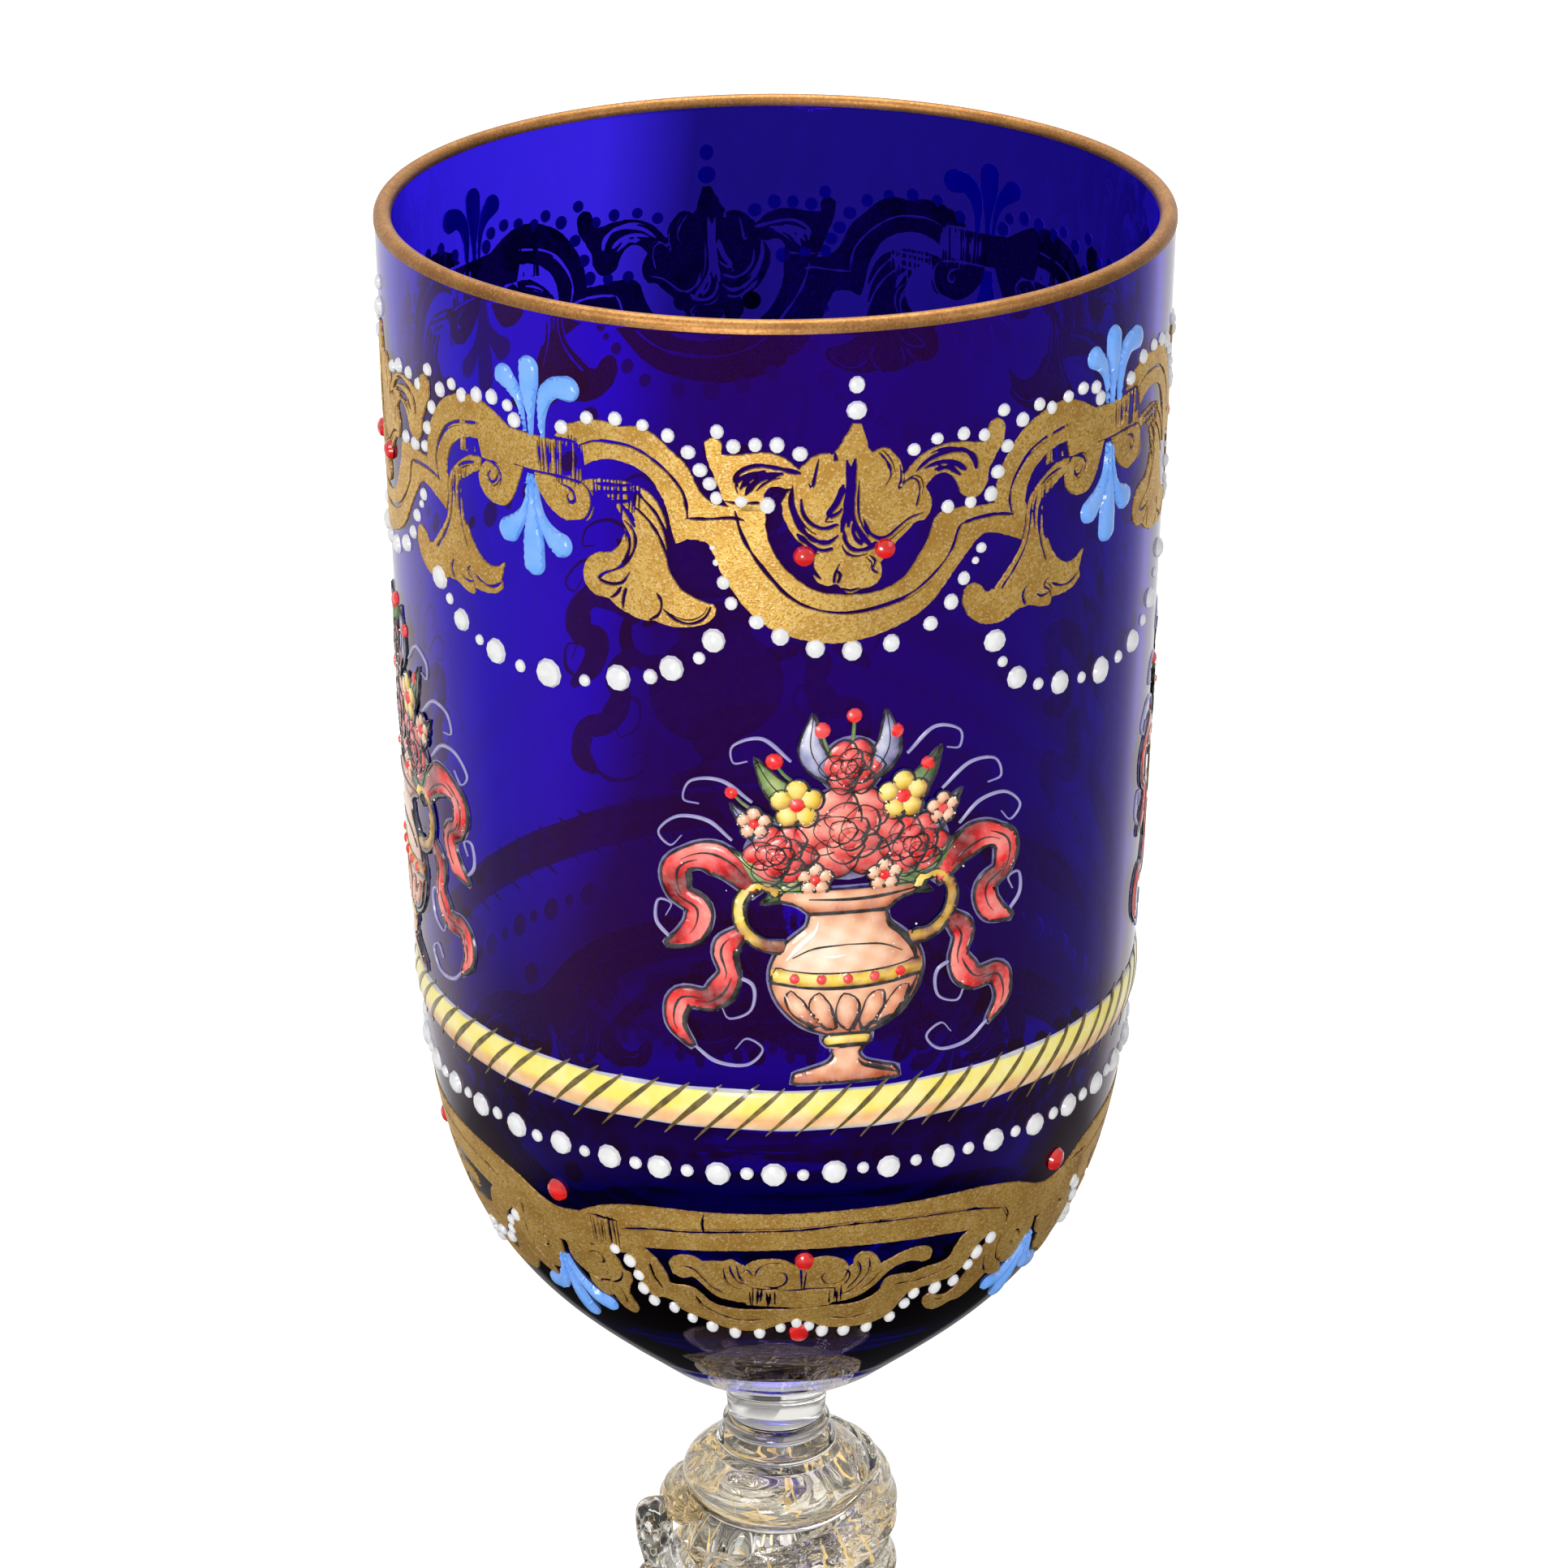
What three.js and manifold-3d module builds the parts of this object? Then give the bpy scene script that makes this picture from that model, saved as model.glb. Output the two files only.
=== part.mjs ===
// A stemmed goblet: a deep blue blown bowl with fired gilding and raised enamel, carried on a clear
// hot-worked stem with a gold-flecked knop, two wound fluted canes and a blown foot.
// Millimetres, +Z up. The origin is the centre of the foot's underside, and the goblet's axis is Z.

import * as THREE from 'three';
import { TessellateModifier } from 'three/addons/modifiers/TessellateModifier.js';
import { mergeVertices } from 'three/addons/utils/BufferGeometryUtils.js';
import Module from 'manifold-3d';

const wasm = await Module();
wasm.setup();

// Bowl
const RIM_RADIUS = 40;
const BOWL_WALL = 1.6;
const BOWL_HEIGHT = 124.5;
const STRAIGHT_WALL_HEIGHT = 75;
const WALL_TAPER = 1.7;
const WALL_BELLY = 0.35;
const WALL_HANDLE = 0.65;
const WALL_HANDLE_INSET = 1;
const CAP_HANDLE_OUT = 0.69;
const CAP_HANDLE_UP = 0.28;
const FLOOR_HANDLE_DOWN = 0.74;
const FLOOR_HANDLE_OUT = 0.63;
const BOWL_FLOOR_THICKNESS = 4.5;
const BASE_CAP_HEIGHT = 5.5;
const BASE_CAP_RADIUS = 13.5;
const BASE_CAP_FLARE_HEIGHT = 3.5;
const CAP_FLARE_HANDLE = 4;

// Stem, from the bowl down to the foot
const NECK_RADIUS = 5.6;
const NECK_HEIGHT = 6;
const NECK_RING_RADII = [6.4, 7.3];
const NECK_RING_HEIGHT = 2.25;
const SHOULDER_KNOP_RADIUS = 10.5;
const SHOULDER_KNOP_HEIGHT = 6.7;
const SHOULDER_SEAT_RADIUS = 8.5;
const RIBBED_KNOP_RADIUS = 11.2;
const RIBBED_KNOP_HEIGHT = 11.3;
const RIBBED_KNOP_RIBS = 12;
const RIB_DEPTH = 0.5;
const CORE_RADIUS = 5.5;
const CORE_SWELL = 0.3;
const CORE_HEIGHT = 30;
const CORE_RING_RADIUS = 8.4;
const CORE_RING_HEIGHT = 3;
const BALUSTER_RADIUS = 9.6;
const BALUSTER_HEIGHT = 18;
const BALUSTER_FOOT_RADIUS = 4.2;
const BALUSTER_RING_RADIUS = 6.6;
const BALUSTER_RING_HEIGHT = 2.5;
const BASE_KNOP_RADIUS = 6.6;
const BASE_KNOP_HEIGHT = 7.5;
const BASE_KNOP_SEAT_RADIUS = 4.2;

// Canes wound on the knop and core
const CANE_RADIUS = 3.6;
const CANE_OUTER_RADIUS = 13.7;
const CANE_PITCH = 17;
const CANE_TURNS = 2.25;
const CANE_FLUTES = 6;
const CANE_FLUTE_DEPTH = 0.4;
const CANE_TAPER_TURNS = 0.18;
const CANE_START_ABOVE_KNOP = 3.6;
const CANE_START_ANGLES = [95, 215];
const CANE_CLEARANCE = 0.3;

// Pincered crest down the left side
const CREST_REACH = 15.9;
const CREST_TOP_BELOW_SHOULDER = 0.4;
const CREST_THICKNESS = 3.2;
const CREST_NIPS = 4;
const CREST_NIP_SPACING = 9;
const CREST_NIP_DEPTH = 1.1;
const CREST_WIDTH = 4.2;

// Foot
const FOOT_RADIUS = 39;
const FOOT_EDGE_THICKNESS = 1.7;
const FOOT_EDGE_ROUNDING = 0.3;
const FOOT_HEIGHT = 10;
const FOOT_TOP_RADIUS = 6;
const FOOT_CONTACT_WIDTH = 6;
const FOOT_HOLLOW_HEIGHT = 2.6;
const FOOT_COLLAR_RADIUS = 8.5;
const FOOT_COLLAR_HEIGHT = 3;

// Decoration on the bowl: gilding is thin, enamel is raised
const REPEATS = 4;
const DRAWN_REPEAT = 61.26;
const REPEAT_GAP = 0.4;
const DECORATION_GAP = 0.3;
const GILDING_THICKNESS = 0.3;
const ENAMEL_THICKNESS = 0.6;
const GILT_RIM_DEPTH = 1.2;
const UPPER_FRIEZE_DROP = 13.2;
const UPPER_FRIEZE_HEIGHT = 18.7;
const UPPER_FRIEZE_TURN = THREE.MathUtils.degToRad(10);
const UPPER_BAR_WIDTH = 4;
const UPPER_PLUME_LENGTH = 7.6;
const DROP_PLUME_LENGTH = 10;
const PLUME_WIDTH = 10;
const PLUME_GAP = 0.35;
const ROPE_BAND_RISE = 39.7;
const ROPE_BAND_WIDTH = 4.7;
const LOWER_FRIEZE_RISE = 29.7;
const LOWER_FRIEZE_TURN = THREE.MathUtils.degToRad(6.3);
const HANGING_PLUME_DROP = 10.2;
const HANGING_PLUME_LENGTH = 9.2;
const URN_HEADROOM = 6.2;
const URN_DRAWN_HEIGHT = 42;

// Fineness of the facets
const ROUND_SEGMENTS = 40;
const STEM_SEGMENTS = 24;
const RELIEF_MAX_EDGE = 7.5;
const RELIEF_CURVE_SEGMENTS = 2;
const CANE_STEPS_PER_TURN = 16;

// Heights above the table
const footCollarZ = FOOT_HEIGHT;
const baseKnopZ = footCollarZ + FOOT_COLLAR_HEIGHT;
const balusterRingZ = baseKnopZ + BASE_KNOP_HEIGHT;
const balusterZ = balusterRingZ + BALUSTER_RING_HEIGHT;
const coreRingZ = balusterZ + BALUSTER_HEIGHT;
const coreZ = coreRingZ + CORE_RING_HEIGHT;
const ribbedKnopZ = coreZ + CORE_HEIGHT;
const shoulderKnopZ = ribbedKnopZ + RIBBED_KNOP_HEIGHT;
const neckRingsZ = shoulderKnopZ + SHOULDER_KNOP_HEIGHT;
const neckZ = neckRingsZ + NECK_RING_RADII.length * NECK_RING_HEIGHT;
const baseCapZ = neckZ + NECK_HEIGHT;
const bowlZ = baseCapZ + BASE_CAP_FLARE_HEIGHT + BASE_CAP_HEIGHT;
const rimZ = bowlZ + BOWL_HEIGHT;

// Each sub-part's own material
const materialKinds = {
  blueGlass: { color: 0x1a0fa8, roughness: 0.05, metalness: 0 },
  clearGlass: { color: 0xdfe6e6, roughness: 0.05, metalness: 0 },
  flakedGlass: { color: 0xd8c48a, roughness: 0.1, metalness: 0 },
  gilding: { color: 0xb98a32, roughness: 0.35, metalness: 1 },
  blueEnamel: { color: 0x64a5f0, roughness: 0.3, metalness: 0 },
  ropeEnamel: { color: 0xe2bd4e, roughness: 0.35, metalness: 0 },
  sceneEnamel: { color: 0xdc6a55, roughness: 0.35, metalness: 0 },
};

const goblet = new THREE.Group();

function addMesh(name, geometry, kind) {
  const material = new THREE.MeshStandardMaterial(materialKinds[kind]);
  const mesh = new THREE.Mesh(geometry, material);
  mesh.name = name;
  goblet.add(mesh);
}

// Turned solids: a profile of radius and height from the bottom of the axis to its top
function turned(profile, segments = STEM_SEGMENTS) {
  const geometry = new THREE.LatheGeometry(profile, segments);
  geometry.rotateX(Math.PI / 2);
  return geometry;
}

function point(radius, z) {
  return new THREE.Vector2(radius, z);
}

// A bulging solid between two flat seats
function knopProfile(z, height, radius, lowerSeat, upperSeat, steps = 8) {
  const profile = [point(0, z)];
  const middle = z + height / 2;
  const half = height / 2;
  const lowerAngle = -Math.acos(lowerSeat / radius);
  const upperAngle = Math.acos(upperSeat / radius);
  for (let i = 0; i <= steps; i += 1) {
    const angle = THREE.MathUtils.lerp(lowerAngle, upperAngle, i / steps);
    const reach = angle < 0 ? Math.sin(-lowerAngle) : Math.sin(upperAngle);
    profile.push(point(radius * Math.cos(angle), middle + (half * Math.sin(angle)) / reach));
  }
  profile.push(point(0, z + height));
  return profile;
}

// The bowl's outside: a nearly straight wall, then one long curve in to the base cap, whose handles
// reach down the wall and out from the cap
const waistRadius = RIM_RADIUS - WALL_TAPER;
const upperWall = new THREE.QuadraticBezierCurve(
  point(RIM_RADIUS, 0),
  point((RIM_RADIUS + waistRadius) / 2 + WALL_BELLY, -STRAIGHT_WALL_HEIGHT / 2),
  point(waistRadius, -STRAIGHT_WALL_HEIGHT),
);
const capDrop = BOWL_HEIGHT + BASE_CAP_HEIGHT;
const curvedDrop = capDrop - STRAIGHT_WALL_HEIGHT;
const lowerWall = new THREE.CubicBezierCurve(
  point(waistRadius, -STRAIGHT_WALL_HEIGHT),
  point(waistRadius - WALL_HANDLE_INSET, -STRAIGHT_WALL_HEIGHT - WALL_HANDLE * curvedDrop),
  point(
    BASE_CAP_RADIUS + CAP_HANDLE_OUT * (waistRadius - BASE_CAP_RADIUS),
    -capDrop + CAP_HANDLE_UP * curvedDrop,
  ),
  point(BASE_CAP_RADIUS, -capDrop),
);

// The curve's parameter where it has dropped this far below the rim, found by halving
function wallAt(drop) {
  const curve = drop <= STRAIGHT_WALL_HEIGHT ? upperWall : lowerWall;
  let low = 0;
  let high = 1;
  while (high - low > 1e-9) {
    const middle = (low + high) / 2;
    if (-curve.getPoint(middle).y < drop) low = middle;
    else high = middle;
  }
  return { position: curve.getPoint(low), tangent: curve.getTangent(low) };
}

// A point on the bowl's outside, moved off it square to the wall
function offWall(drop, offset) {
  const { position, tangent } = wallAt(drop);
  return point(position.x - tangent.y * offset, position.y + tangent.x * offset);
}

function wallDrops(from, to, count) {
  return Array.from({ length: count + 1 }, (_, i) => from + ((to - from) * i) / count);
}

// Flat reliefs, drawn on the unrolled bowl: x round it from the repeat's middle, y up from a base line
function mirroredShape(half) {
  const points = half.getPoints(RELIEF_CURVE_SEGMENTS);
  const onAxis = (p) => Math.abs(p.x) < 1e-6;
  const mirror = points.filter((p) => !onAxis(p)).map((p) => new THREE.Vector2(-p.x, p.y));
  return [...points, ...mirror.reverse()];
}

function halfOutline(points) {
  const path = new THREE.Path();
  path.moveTo(...points[0]);
  for (const step of points.slice(1)) {
    if (step.length === 2) path.lineTo(...step);
    else path.quadraticCurveTo(...step);
  }
  return path;
}

function relief(half, { drop, turn, thickness, stretch = 1, hole = null }) {
  const shape = new THREE.Shape(mirroredShape(halfOutline(half)));
  if (hole) shape.holes.push(new THREE.Path(mirroredShape(halfOutline(hole))));
  const flat = new THREE.ExtrudeGeometry(shape, { depth: thickness, bevelEnabled: false });
  const fine = new TessellateModifier(RELIEF_MAX_EDGE, 12).modify(flat);
  const positions = fine.getAttribute('position');
  const anglePerMillimetre = (2 * Math.PI) / (REPEATS * DRAWN_REPEAT);
  for (let i = 0; i < positions.count; i += 1) {
    const angle = turn + positions.getX(i) * anglePerMillimetre;
    const spot = offWall(drop - positions.getY(i) * stretch, DECORATION_GAP + positions.getZ(i));
    positions.setXYZ(i, spot.x * Math.sin(angle), -spot.x * Math.cos(angle), rimZ + spot.y);
  }
  return fine;
}

function addRepeated(name, kind, firstTurn, half, placing) {
  for (let i = 0; i < REPEATS; i += 1) {
    const turn = firstTurn + (2 * Math.PI * i) / REPEATS;
    addMesh(`${name}_${i + 1}`, relief(half, { ...placing, turn }), kind);
  }
}

// Solids for cutting one piece by another
function asSolid(geometry) {
  const bare = geometry.clone();
  bare.deleteAttribute('normal');
  bare.deleteAttribute('uv');
  const merged = mergeVertices(bare, 1e-4);
  const corners = Array.from(merged.getIndex().array);
  const kept = [];
  for (let i = 0; i < corners.length; i += 3) {
    const [a, b, c] = corners.slice(i, i + 3);
    if (a !== b && b !== c && c !== a) kept.push(a, b, c);
  }
  const mesh = new wasm.Mesh({
    numProp: 3,
    vertProperties: Float32Array.from(merged.getAttribute('position').array),
    triVerts: Uint32Array.from(kept),
  });
  return new wasm.Manifold(mesh);
}

function asGeometry(solid) {
  const mesh = solid.getMesh();
  const geometry = new THREE.BufferGeometry();
  geometry.setAttribute('position', new THREE.BufferAttribute(Float32Array.from(mesh.vertProperties), 3));
  geometry.setIndex(new THREE.BufferAttribute(Uint32Array.from(mesh.triVerts), 1));
  return geometry;
}

// Bowl
function bowlGeometry() {
  const curved = wallDrops(STRAIGHT_WALL_HEIGHT, BOWL_HEIGHT, 10);
  const straight = wallDrops(GILDING_THICKNESS, STRAIGHT_WALL_HEIGHT, 3).slice(0, -1);
  const outside = [...straight, ...curved].map((drop) => offWall(drop, 0));
  const floorDrop = BOWL_HEIGHT - BOWL_FLOOR_THICKNESS;
  const waistInside = waistRadius - BOWL_WALL;
  const innerDepth = floorDrop - STRAIGHT_WALL_HEIGHT;
  const inside = new THREE.CubicBezierCurve(
    point(waistInside, -STRAIGHT_WALL_HEIGHT),
    point(waistInside - WALL_HANDLE_INSET, -STRAIGHT_WALL_HEIGHT - FLOOR_HANDLE_DOWN * innerDepth),
    point(FLOOR_HANDLE_OUT * waistRadius, -floorDrop),
    point(0, -floorDrop),
  );
  const profile = [
    point(0, -BOWL_HEIGHT),
    ...outside.reverse(),
    point(RIM_RADIUS - BOWL_WALL, -GILDING_THICKNESS),
    ...inside.getPoints(7),
  ];
  const geometry = turned(profile, ROUND_SEGMENTS);
  geometry.translate(0, 0, rimZ);
  return geometry;
}

function baseCapGeometry() {
  const flank = wallDrops(BOWL_HEIGHT, capDrop, 3).map((drop) => offWall(drop, 0)).reverse();
  const capBottom = point(NECK_RADIUS, -capDrop - BASE_CAP_FLARE_HEIGHT);
  const handle = point(NECK_RADIUS + CAP_FLARE_HANDLE, -capDrop - 0.7 * BASE_CAP_FLARE_HEIGHT);
  const flare = new THREE.QuadraticBezierCurve(capBottom, handle, flank[0]);
  const profile = [
    point(0, capBottom.y),
    ...flare.getPoints(3).slice(0, -1),
    ...flank,
    point(0, -BOWL_HEIGHT),
  ];
  const geometry = turned(profile, ROUND_SEGMENTS);
  geometry.translate(0, 0, rimZ);
  return geometry;
}

function giltRimGeometry() {
  const edge = RIM_RADIUS + DECORATION_GAP / 2;
  const outer = edge + GILDING_THICKNESS;
  const seat = point(RIM_RADIUS - BOWL_WALL, rimZ - GILDING_THICKNESS);
  const profile = [
    seat,
    point(edge, rimZ - GILDING_THICKNESS),
    point(edge, rimZ - GILT_RIM_DEPTH),
    point(outer, rimZ - GILT_RIM_DEPTH),
    point(outer - GILDING_THICKNESS, rimZ),
    point(RIM_RADIUS - BOWL_WALL, rimZ),
    seat,
  ];
  return turned(profile, ROUND_SEGMENTS);
}

function ropeBandGeometry() {
  const lowerDrop = BOWL_HEIGHT - ROPE_BAND_RISE;
  const upperDrop = lowerDrop - ROPE_BAND_WIDTH;
  const middleDrop = (lowerDrop + upperDrop) / 2;
  const profile = [
    offWall(upperDrop, DECORATION_GAP),
    offWall(lowerDrop, DECORATION_GAP),
    offWall(middleDrop, DECORATION_GAP + ENAMEL_THICKNESS),
    offWall(upperDrop, DECORATION_GAP),
  ];
  const geometry = turned(profile, ROUND_SEGMENTS);
  geometry.translate(0, 0, rimZ);
  return geometry;
}

// Ribs are pressed into the knop by drawing its radius in between them
function ribbedKnopGeometry() {
  const profile = knopProfile(
    ribbedKnopZ,
    RIBBED_KNOP_HEIGHT,
    RIBBED_KNOP_RADIUS,
    CORE_RADIUS,
    SHOULDER_SEAT_RADIUS,
    5,
  );
  const geometry = turned(profile, RIBBED_KNOP_RIBS * 2);
  const positions = geometry.getAttribute('position');
  for (let i = 0; i < positions.count; i += 1) {
    const x = positions.getX(i);
    const y = positions.getY(i);
    const radius = Math.hypot(x, y);
    const wave = Math.cos(Math.atan2(y, x) * RIBBED_KNOP_RIBS);
    const depth = (RIB_DEPTH * (1 - wave) * radius) / (2 * RIBBED_KNOP_RADIUS);
    const scale = radius > 0 ? (radius - depth) / radius : 1;
    positions.setXY(i, x * scale, y * scale);
  }
  return geometry;
}

// A fluted cane on a falling helix, drawn to a point at both ends
const canePathRadius = CANE_OUTER_RADIUS - CANE_RADIUS;
const caneTopZ = shoulderKnopZ + CANE_START_ABOVE_KNOP;

function canePoint(turns, start) {
  const angle = start.angle - turns * 2 * Math.PI;
  const x = canePathRadius * Math.cos(angle);
  const y = canePathRadius * Math.sin(angle);
  return new THREE.Vector3(x, y, start.z - turns * CANE_PITCH);
}

function caneGeometry(start, extraRadius = 0) {
  const steps = Math.round(CANE_TURNS * CANE_STEPS_PER_TURN);
  const sides = CANE_FLUTES * 2;
  const vertices = [];
  const indices = [];
  for (let i = 0; i <= steps; i += 1) {
    const turns = (CANE_TURNS * i) / steps;
    const centre = canePoint(turns, start);
    const ahead = canePoint(turns + 1e-4, start);
    const along = ahead.sub(centre).normalize();
    const outward = new THREE.Vector3(centre.x, centre.y, 0).normalize();
    const across = new THREE.Vector3().crossVectors(outward, along).normalize();
    const fromEnd = Math.min(turns, CANE_TURNS - turns);
    const taper = Math.sin((Math.PI / 2) * Math.min(1, 0.08 + fromEnd / CANE_TAPER_TURNS));
    for (let side = 0; side < sides; side += 1) {
      const angle = (2 * Math.PI * side) / sides;
      const flute = side % 2 === 0 ? 0 : CANE_FLUTE_DEPTH;
      const radius = (CANE_RADIUS - flute) * taper + extraRadius;
      const offset = outward.clone().multiplyScalar(radius * Math.cos(angle));
      offset.addScaledVector(across, radius * Math.sin(angle));
      vertices.push(...centre.clone().add(offset).toArray());
    }
  }
  for (let i = 0; i < steps; i += 1) {
    for (let side = 0; side < sides; side += 1) {
      const next = (side + 1) % sides;
      const a = i * sides + side;
      const b = i * sides + next;
      indices.push(a, b + sides, b, a, a + sides, b + sides);
    }
  }
  const first = vertices.length / 3;
  vertices.push(...canePoint(0, start).toArray(), ...canePoint(CANE_TURNS, start).toArray());
  for (let side = 0; side < sides; side += 1) {
    const next = (side + 1) % sides;
    indices.push(first, side, next);
    indices.push(first + 1, steps * sides + next, steps * sides + side);
  }
  const geometry = new THREE.BufferGeometry();
  geometry.setAttribute('position', new THREE.Float32BufferAttribute(vertices, 3));
  geometry.setIndex(indices);
  return geometry;
}

// The left cane starts lower, so that the two stay half a pitch apart all the way down
const caneStartTurns = CANE_START_ANGLES.map((degrees) => degrees / 360);
const leftCaneLag = CANE_PITCH * (0.5 - (caneStartTurns[1] - caneStartTurns[0]));
const caneStarts = [
  { angle: 2 * Math.PI * caneStartTurns[0], z: caneTopZ },
  { angle: 2 * Math.PI * caneStartTurns[1], z: caneTopZ - leftCaneLag },
];

// The least gap between the two canes, measured on points along their centre lines
function leastCaneGap() {
  const samples = 240;
  const along = Array.from({ length: samples + 1 }, (_, i) => (CANE_TURNS * i) / samples);
  const [right, left] = caneStarts.map((start) => along.map((turns) => canePoint(turns, start)));
  const gaps = right.map((here) => Math.min(...left.map((there) => here.distanceTo(there))));
  return Math.min(...gaps) - 2 * CANE_RADIUS;
}

const caneCutters = caneStarts.map((start) => asSolid(caneGeometry(start, CANE_CLEARANCE)));

function cutByCanes(geometry) {
  let solid = asSolid(geometry);
  for (const cutter of caneCutters) solid = solid.subtract(cutter);
  return asGeometry(solid);
}

// A flat ribbon of glass pinched into nips, standing out on the left of the stem
function crestGeometry() {
  const inner = -CREST_REACH + CREST_WIDTH;
  const waist = -CREST_REACH + CREST_NIP_DEPTH;
  const top = shoulderKnopZ - CREST_TOP_BELOW_SHOULDER;
  const bottom = top - CREST_NIPS * CREST_NIP_SPACING;
  const outline = new THREE.Shape();
  outline.moveTo(inner, top);
  for (let nip = 0; nip < CREST_NIPS; nip += 1) {
    const nipTop = top - nip * CREST_NIP_SPACING;
    const nipBottom = nipTop - CREST_NIP_SPACING;
    outline.lineTo(waist, nipTop);
    outline.bezierCurveTo(
      -CREST_REACH - CREST_NIP_DEPTH / 3,
      nipTop,
      -CREST_REACH - CREST_NIP_DEPTH / 3,
      nipBottom + CREST_NIP_SPACING / 2,
      waist,
      nipBottom,
    );
  }
  outline.lineTo(inner, bottom);
  const settings = { depth: CREST_THICKNESS, bevelEnabled: false, curveSegments: 6 };
  const geometry = new THREE.ExtrudeGeometry(outline, settings);
  geometry.translate(0, 0, -CREST_THICKNESS / 2);
  geometry.rotateX(Math.PI / 2);
  return cutByCanes(geometry);
}

function ringProfile(z, height, seat, radius) {
  return knopProfile(z, height, radius, seat, seat, 4);
}

function footGeometry() {
  const hollowRadius = FOOT_RADIUS - FOOT_CONTACT_WIDTH;
  const top = new THREE.CubicBezierCurve(
    point(FOOT_RADIUS, FOOT_EDGE_THICKNESS),
    point(FOOT_RADIUS * 0.62, FOOT_EDGE_THICKNESS * 1.8),
    point(FOOT_TOP_RADIUS * 2.2, FOOT_HEIGHT * 0.45),
    point(FOOT_TOP_RADIUS, FOOT_HEIGHT),
  );
  const hollow = new THREE.QuadraticBezierCurve(
    point(0, FOOT_HOLLOW_HEIGHT),
    point(hollowRadius * 0.6, FOOT_HOLLOW_HEIGHT),
    point(hollowRadius, 0),
  );
  return turned([
    ...hollow.getPoints(4),
    point(FOOT_RADIUS - FOOT_EDGE_THICKNESS / 2, 0),
    point(FOOT_RADIUS + FOOT_EDGE_ROUNDING, FOOT_EDGE_THICKNESS / 2),
    ...top.getPoints(7),
    point(0, FOOT_HEIGHT),
  ], ROUND_SEGMENTS);
}

// Half outlines of the decoration, x from the middle of the motif
const repeatEdge = (DRAWN_REPEAT - REPEAT_GAP) / 2;

const scrollworkHalf = [
  [0, -18.5],
  [9.5, -18.5, 12.8, -10.4],
  [14.6, -9.4],
  [16.6, -10.2],
  [18, -8, 18, -5.4],
  [19.8, -3.2, 22.4, -3.6],
  [18.4, -8, 17.6, -13.3],
  [14, -15.4],
  [11.6, -14.4],
  [10.8, -17.4, 15.5, -18.7],
  [18.6, -16.6],
  [21, -18, 24.4, -17.3],
  [25.2, -14.6],
  [20.4, -14.2, 21, -6.5],
  [22.9, -6],
  [24.8, -8.6, 27.3, -6.2],
  [26.5, -UPPER_BAR_WIDTH],
  [repeatEdge, -UPPER_BAR_WIDTH],
  [repeatEdge, 0],
  [26.2, 0],
  [22, 5, 17.2, -0.6],
  [15.4, -4.5],
  [14.9, -6],
  [11.2, -6],
  [9, -14.4, 0, -14.4],
];

const acanthusHalf = [
  [0, -12.8],
  [2.6, -13.4, 3.5, -10],
  [6.8, -8.6, 7.4, -4.4],
  [7.4, -2.6],
  [10.4, -2.9],
  [11.9, -4.8],
  [14, -2.4, 14.1, 1.9],
  [12.4, -0.2],
  [8.6, 0.4, 5.4, -0.9],
  [4.2, 0.8],
  [2, 0.2],
  [0.6, 2, 0, 4.7],
];

const cartoucheHalf = [
  [0, -15.6],
  [6, -17.2, 14.2, -15.9],
  [15.6, -13.6],
  [19.3, -13.2],
  [21.5, -10.5],
  [24.2, -6.5],
  [25.3, -3.8],
  [21, -0.4, 12, 0],
  [0, 0],
];

const cartoucheHole = [
  [0, -5.2],
  [15.5, -5.2],
  [16.6, -8.6],
  [12.4, -9.6, 11, -12.2],
  [5.5, -13.4],
  [0, -13.4],
];

const basketHalf = [
  [0, -12.6],
  [5, -12.6],
  [6.4, -10.2],
  [11, -9.8],
  [13.6, -6.6],
  [8, -7.4, 5, -6.2],
  [2, -5.8, 0, -6.2],
];

const linkingLeafHalf = [
  [0, -8.2],
  [1, -9.6],
  [4.2, -10.2],
  [4.8, -12.2],
  [7.8, -15.8],
  [8.6, -12.6],
  [5.8, -7.4],
  [4.4, -4.6],
  [0, -3.4],
];

const plumeHalf = [
  [0, 0],
  [0.06, 0],
  [0.08, 0.36, 0.3, 0.5],
  [0.5, 0.6, 0.42, 0.8],
  [0.3, 0.86, 0.16, 0.62],
  [0.09, 0.4],
  [0.15, 0.9, 0, 1],
];

const urnHalf = [
  [0, 0.4],
  [6.2, 0.4],
  [5.6, 2.2],
  [1.8, 3, 2, 6.4],
  [3, 7.2],
  [2.2, 8.2],
  [8.2, 10.6, 8.9, 16.4],
  [12.4, 17.4, 12.2, 21.4],
  [8, 22.6],
  [7.8, 24],
  [12.4, 23.8],
  [17.8, 24.8, 17, 20],
  [16.6, 16, 18.8, 12.4],
  [21.4, 14.8],
  [19.4, 18.4, 20.8, 22],
  [20.6, 27.6, 14, 27.2],
  [14, 31.2, 10.8, 31.8],
  [10.4, 35.4, 6.4, 36.4],
  [4.6, 40.4, 0, 41.4],
];

// A plume is drawn one unit long and one unit wide, then sized and pointed up or down from its root
function plume(length, rootY) {
  return plumeHalf.map((step) => step.map((value, i) => {
    const across = i % 2 === 0;
    return across ? value * PLUME_WIDTH : rootY + value * length;
  }));
}

// Assembly
const halfRepeat = Math.PI / REPEATS;
const lowerFriezeDrop = BOWL_HEIGHT - LOWER_FRIEZE_RISE;
const friezeBottomDrop = UPPER_FRIEZE_DROP + UPPER_FRIEZE_HEIGHT;
const ropeTopDrop = BOWL_HEIGHT - ROPE_BAND_RISE - ROPE_BAND_WIDTH;
const urnStretch = (ropeTopDrop - friezeBottomDrop - URN_HEADROOM) / URN_DRAWN_HEIGHT;

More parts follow.
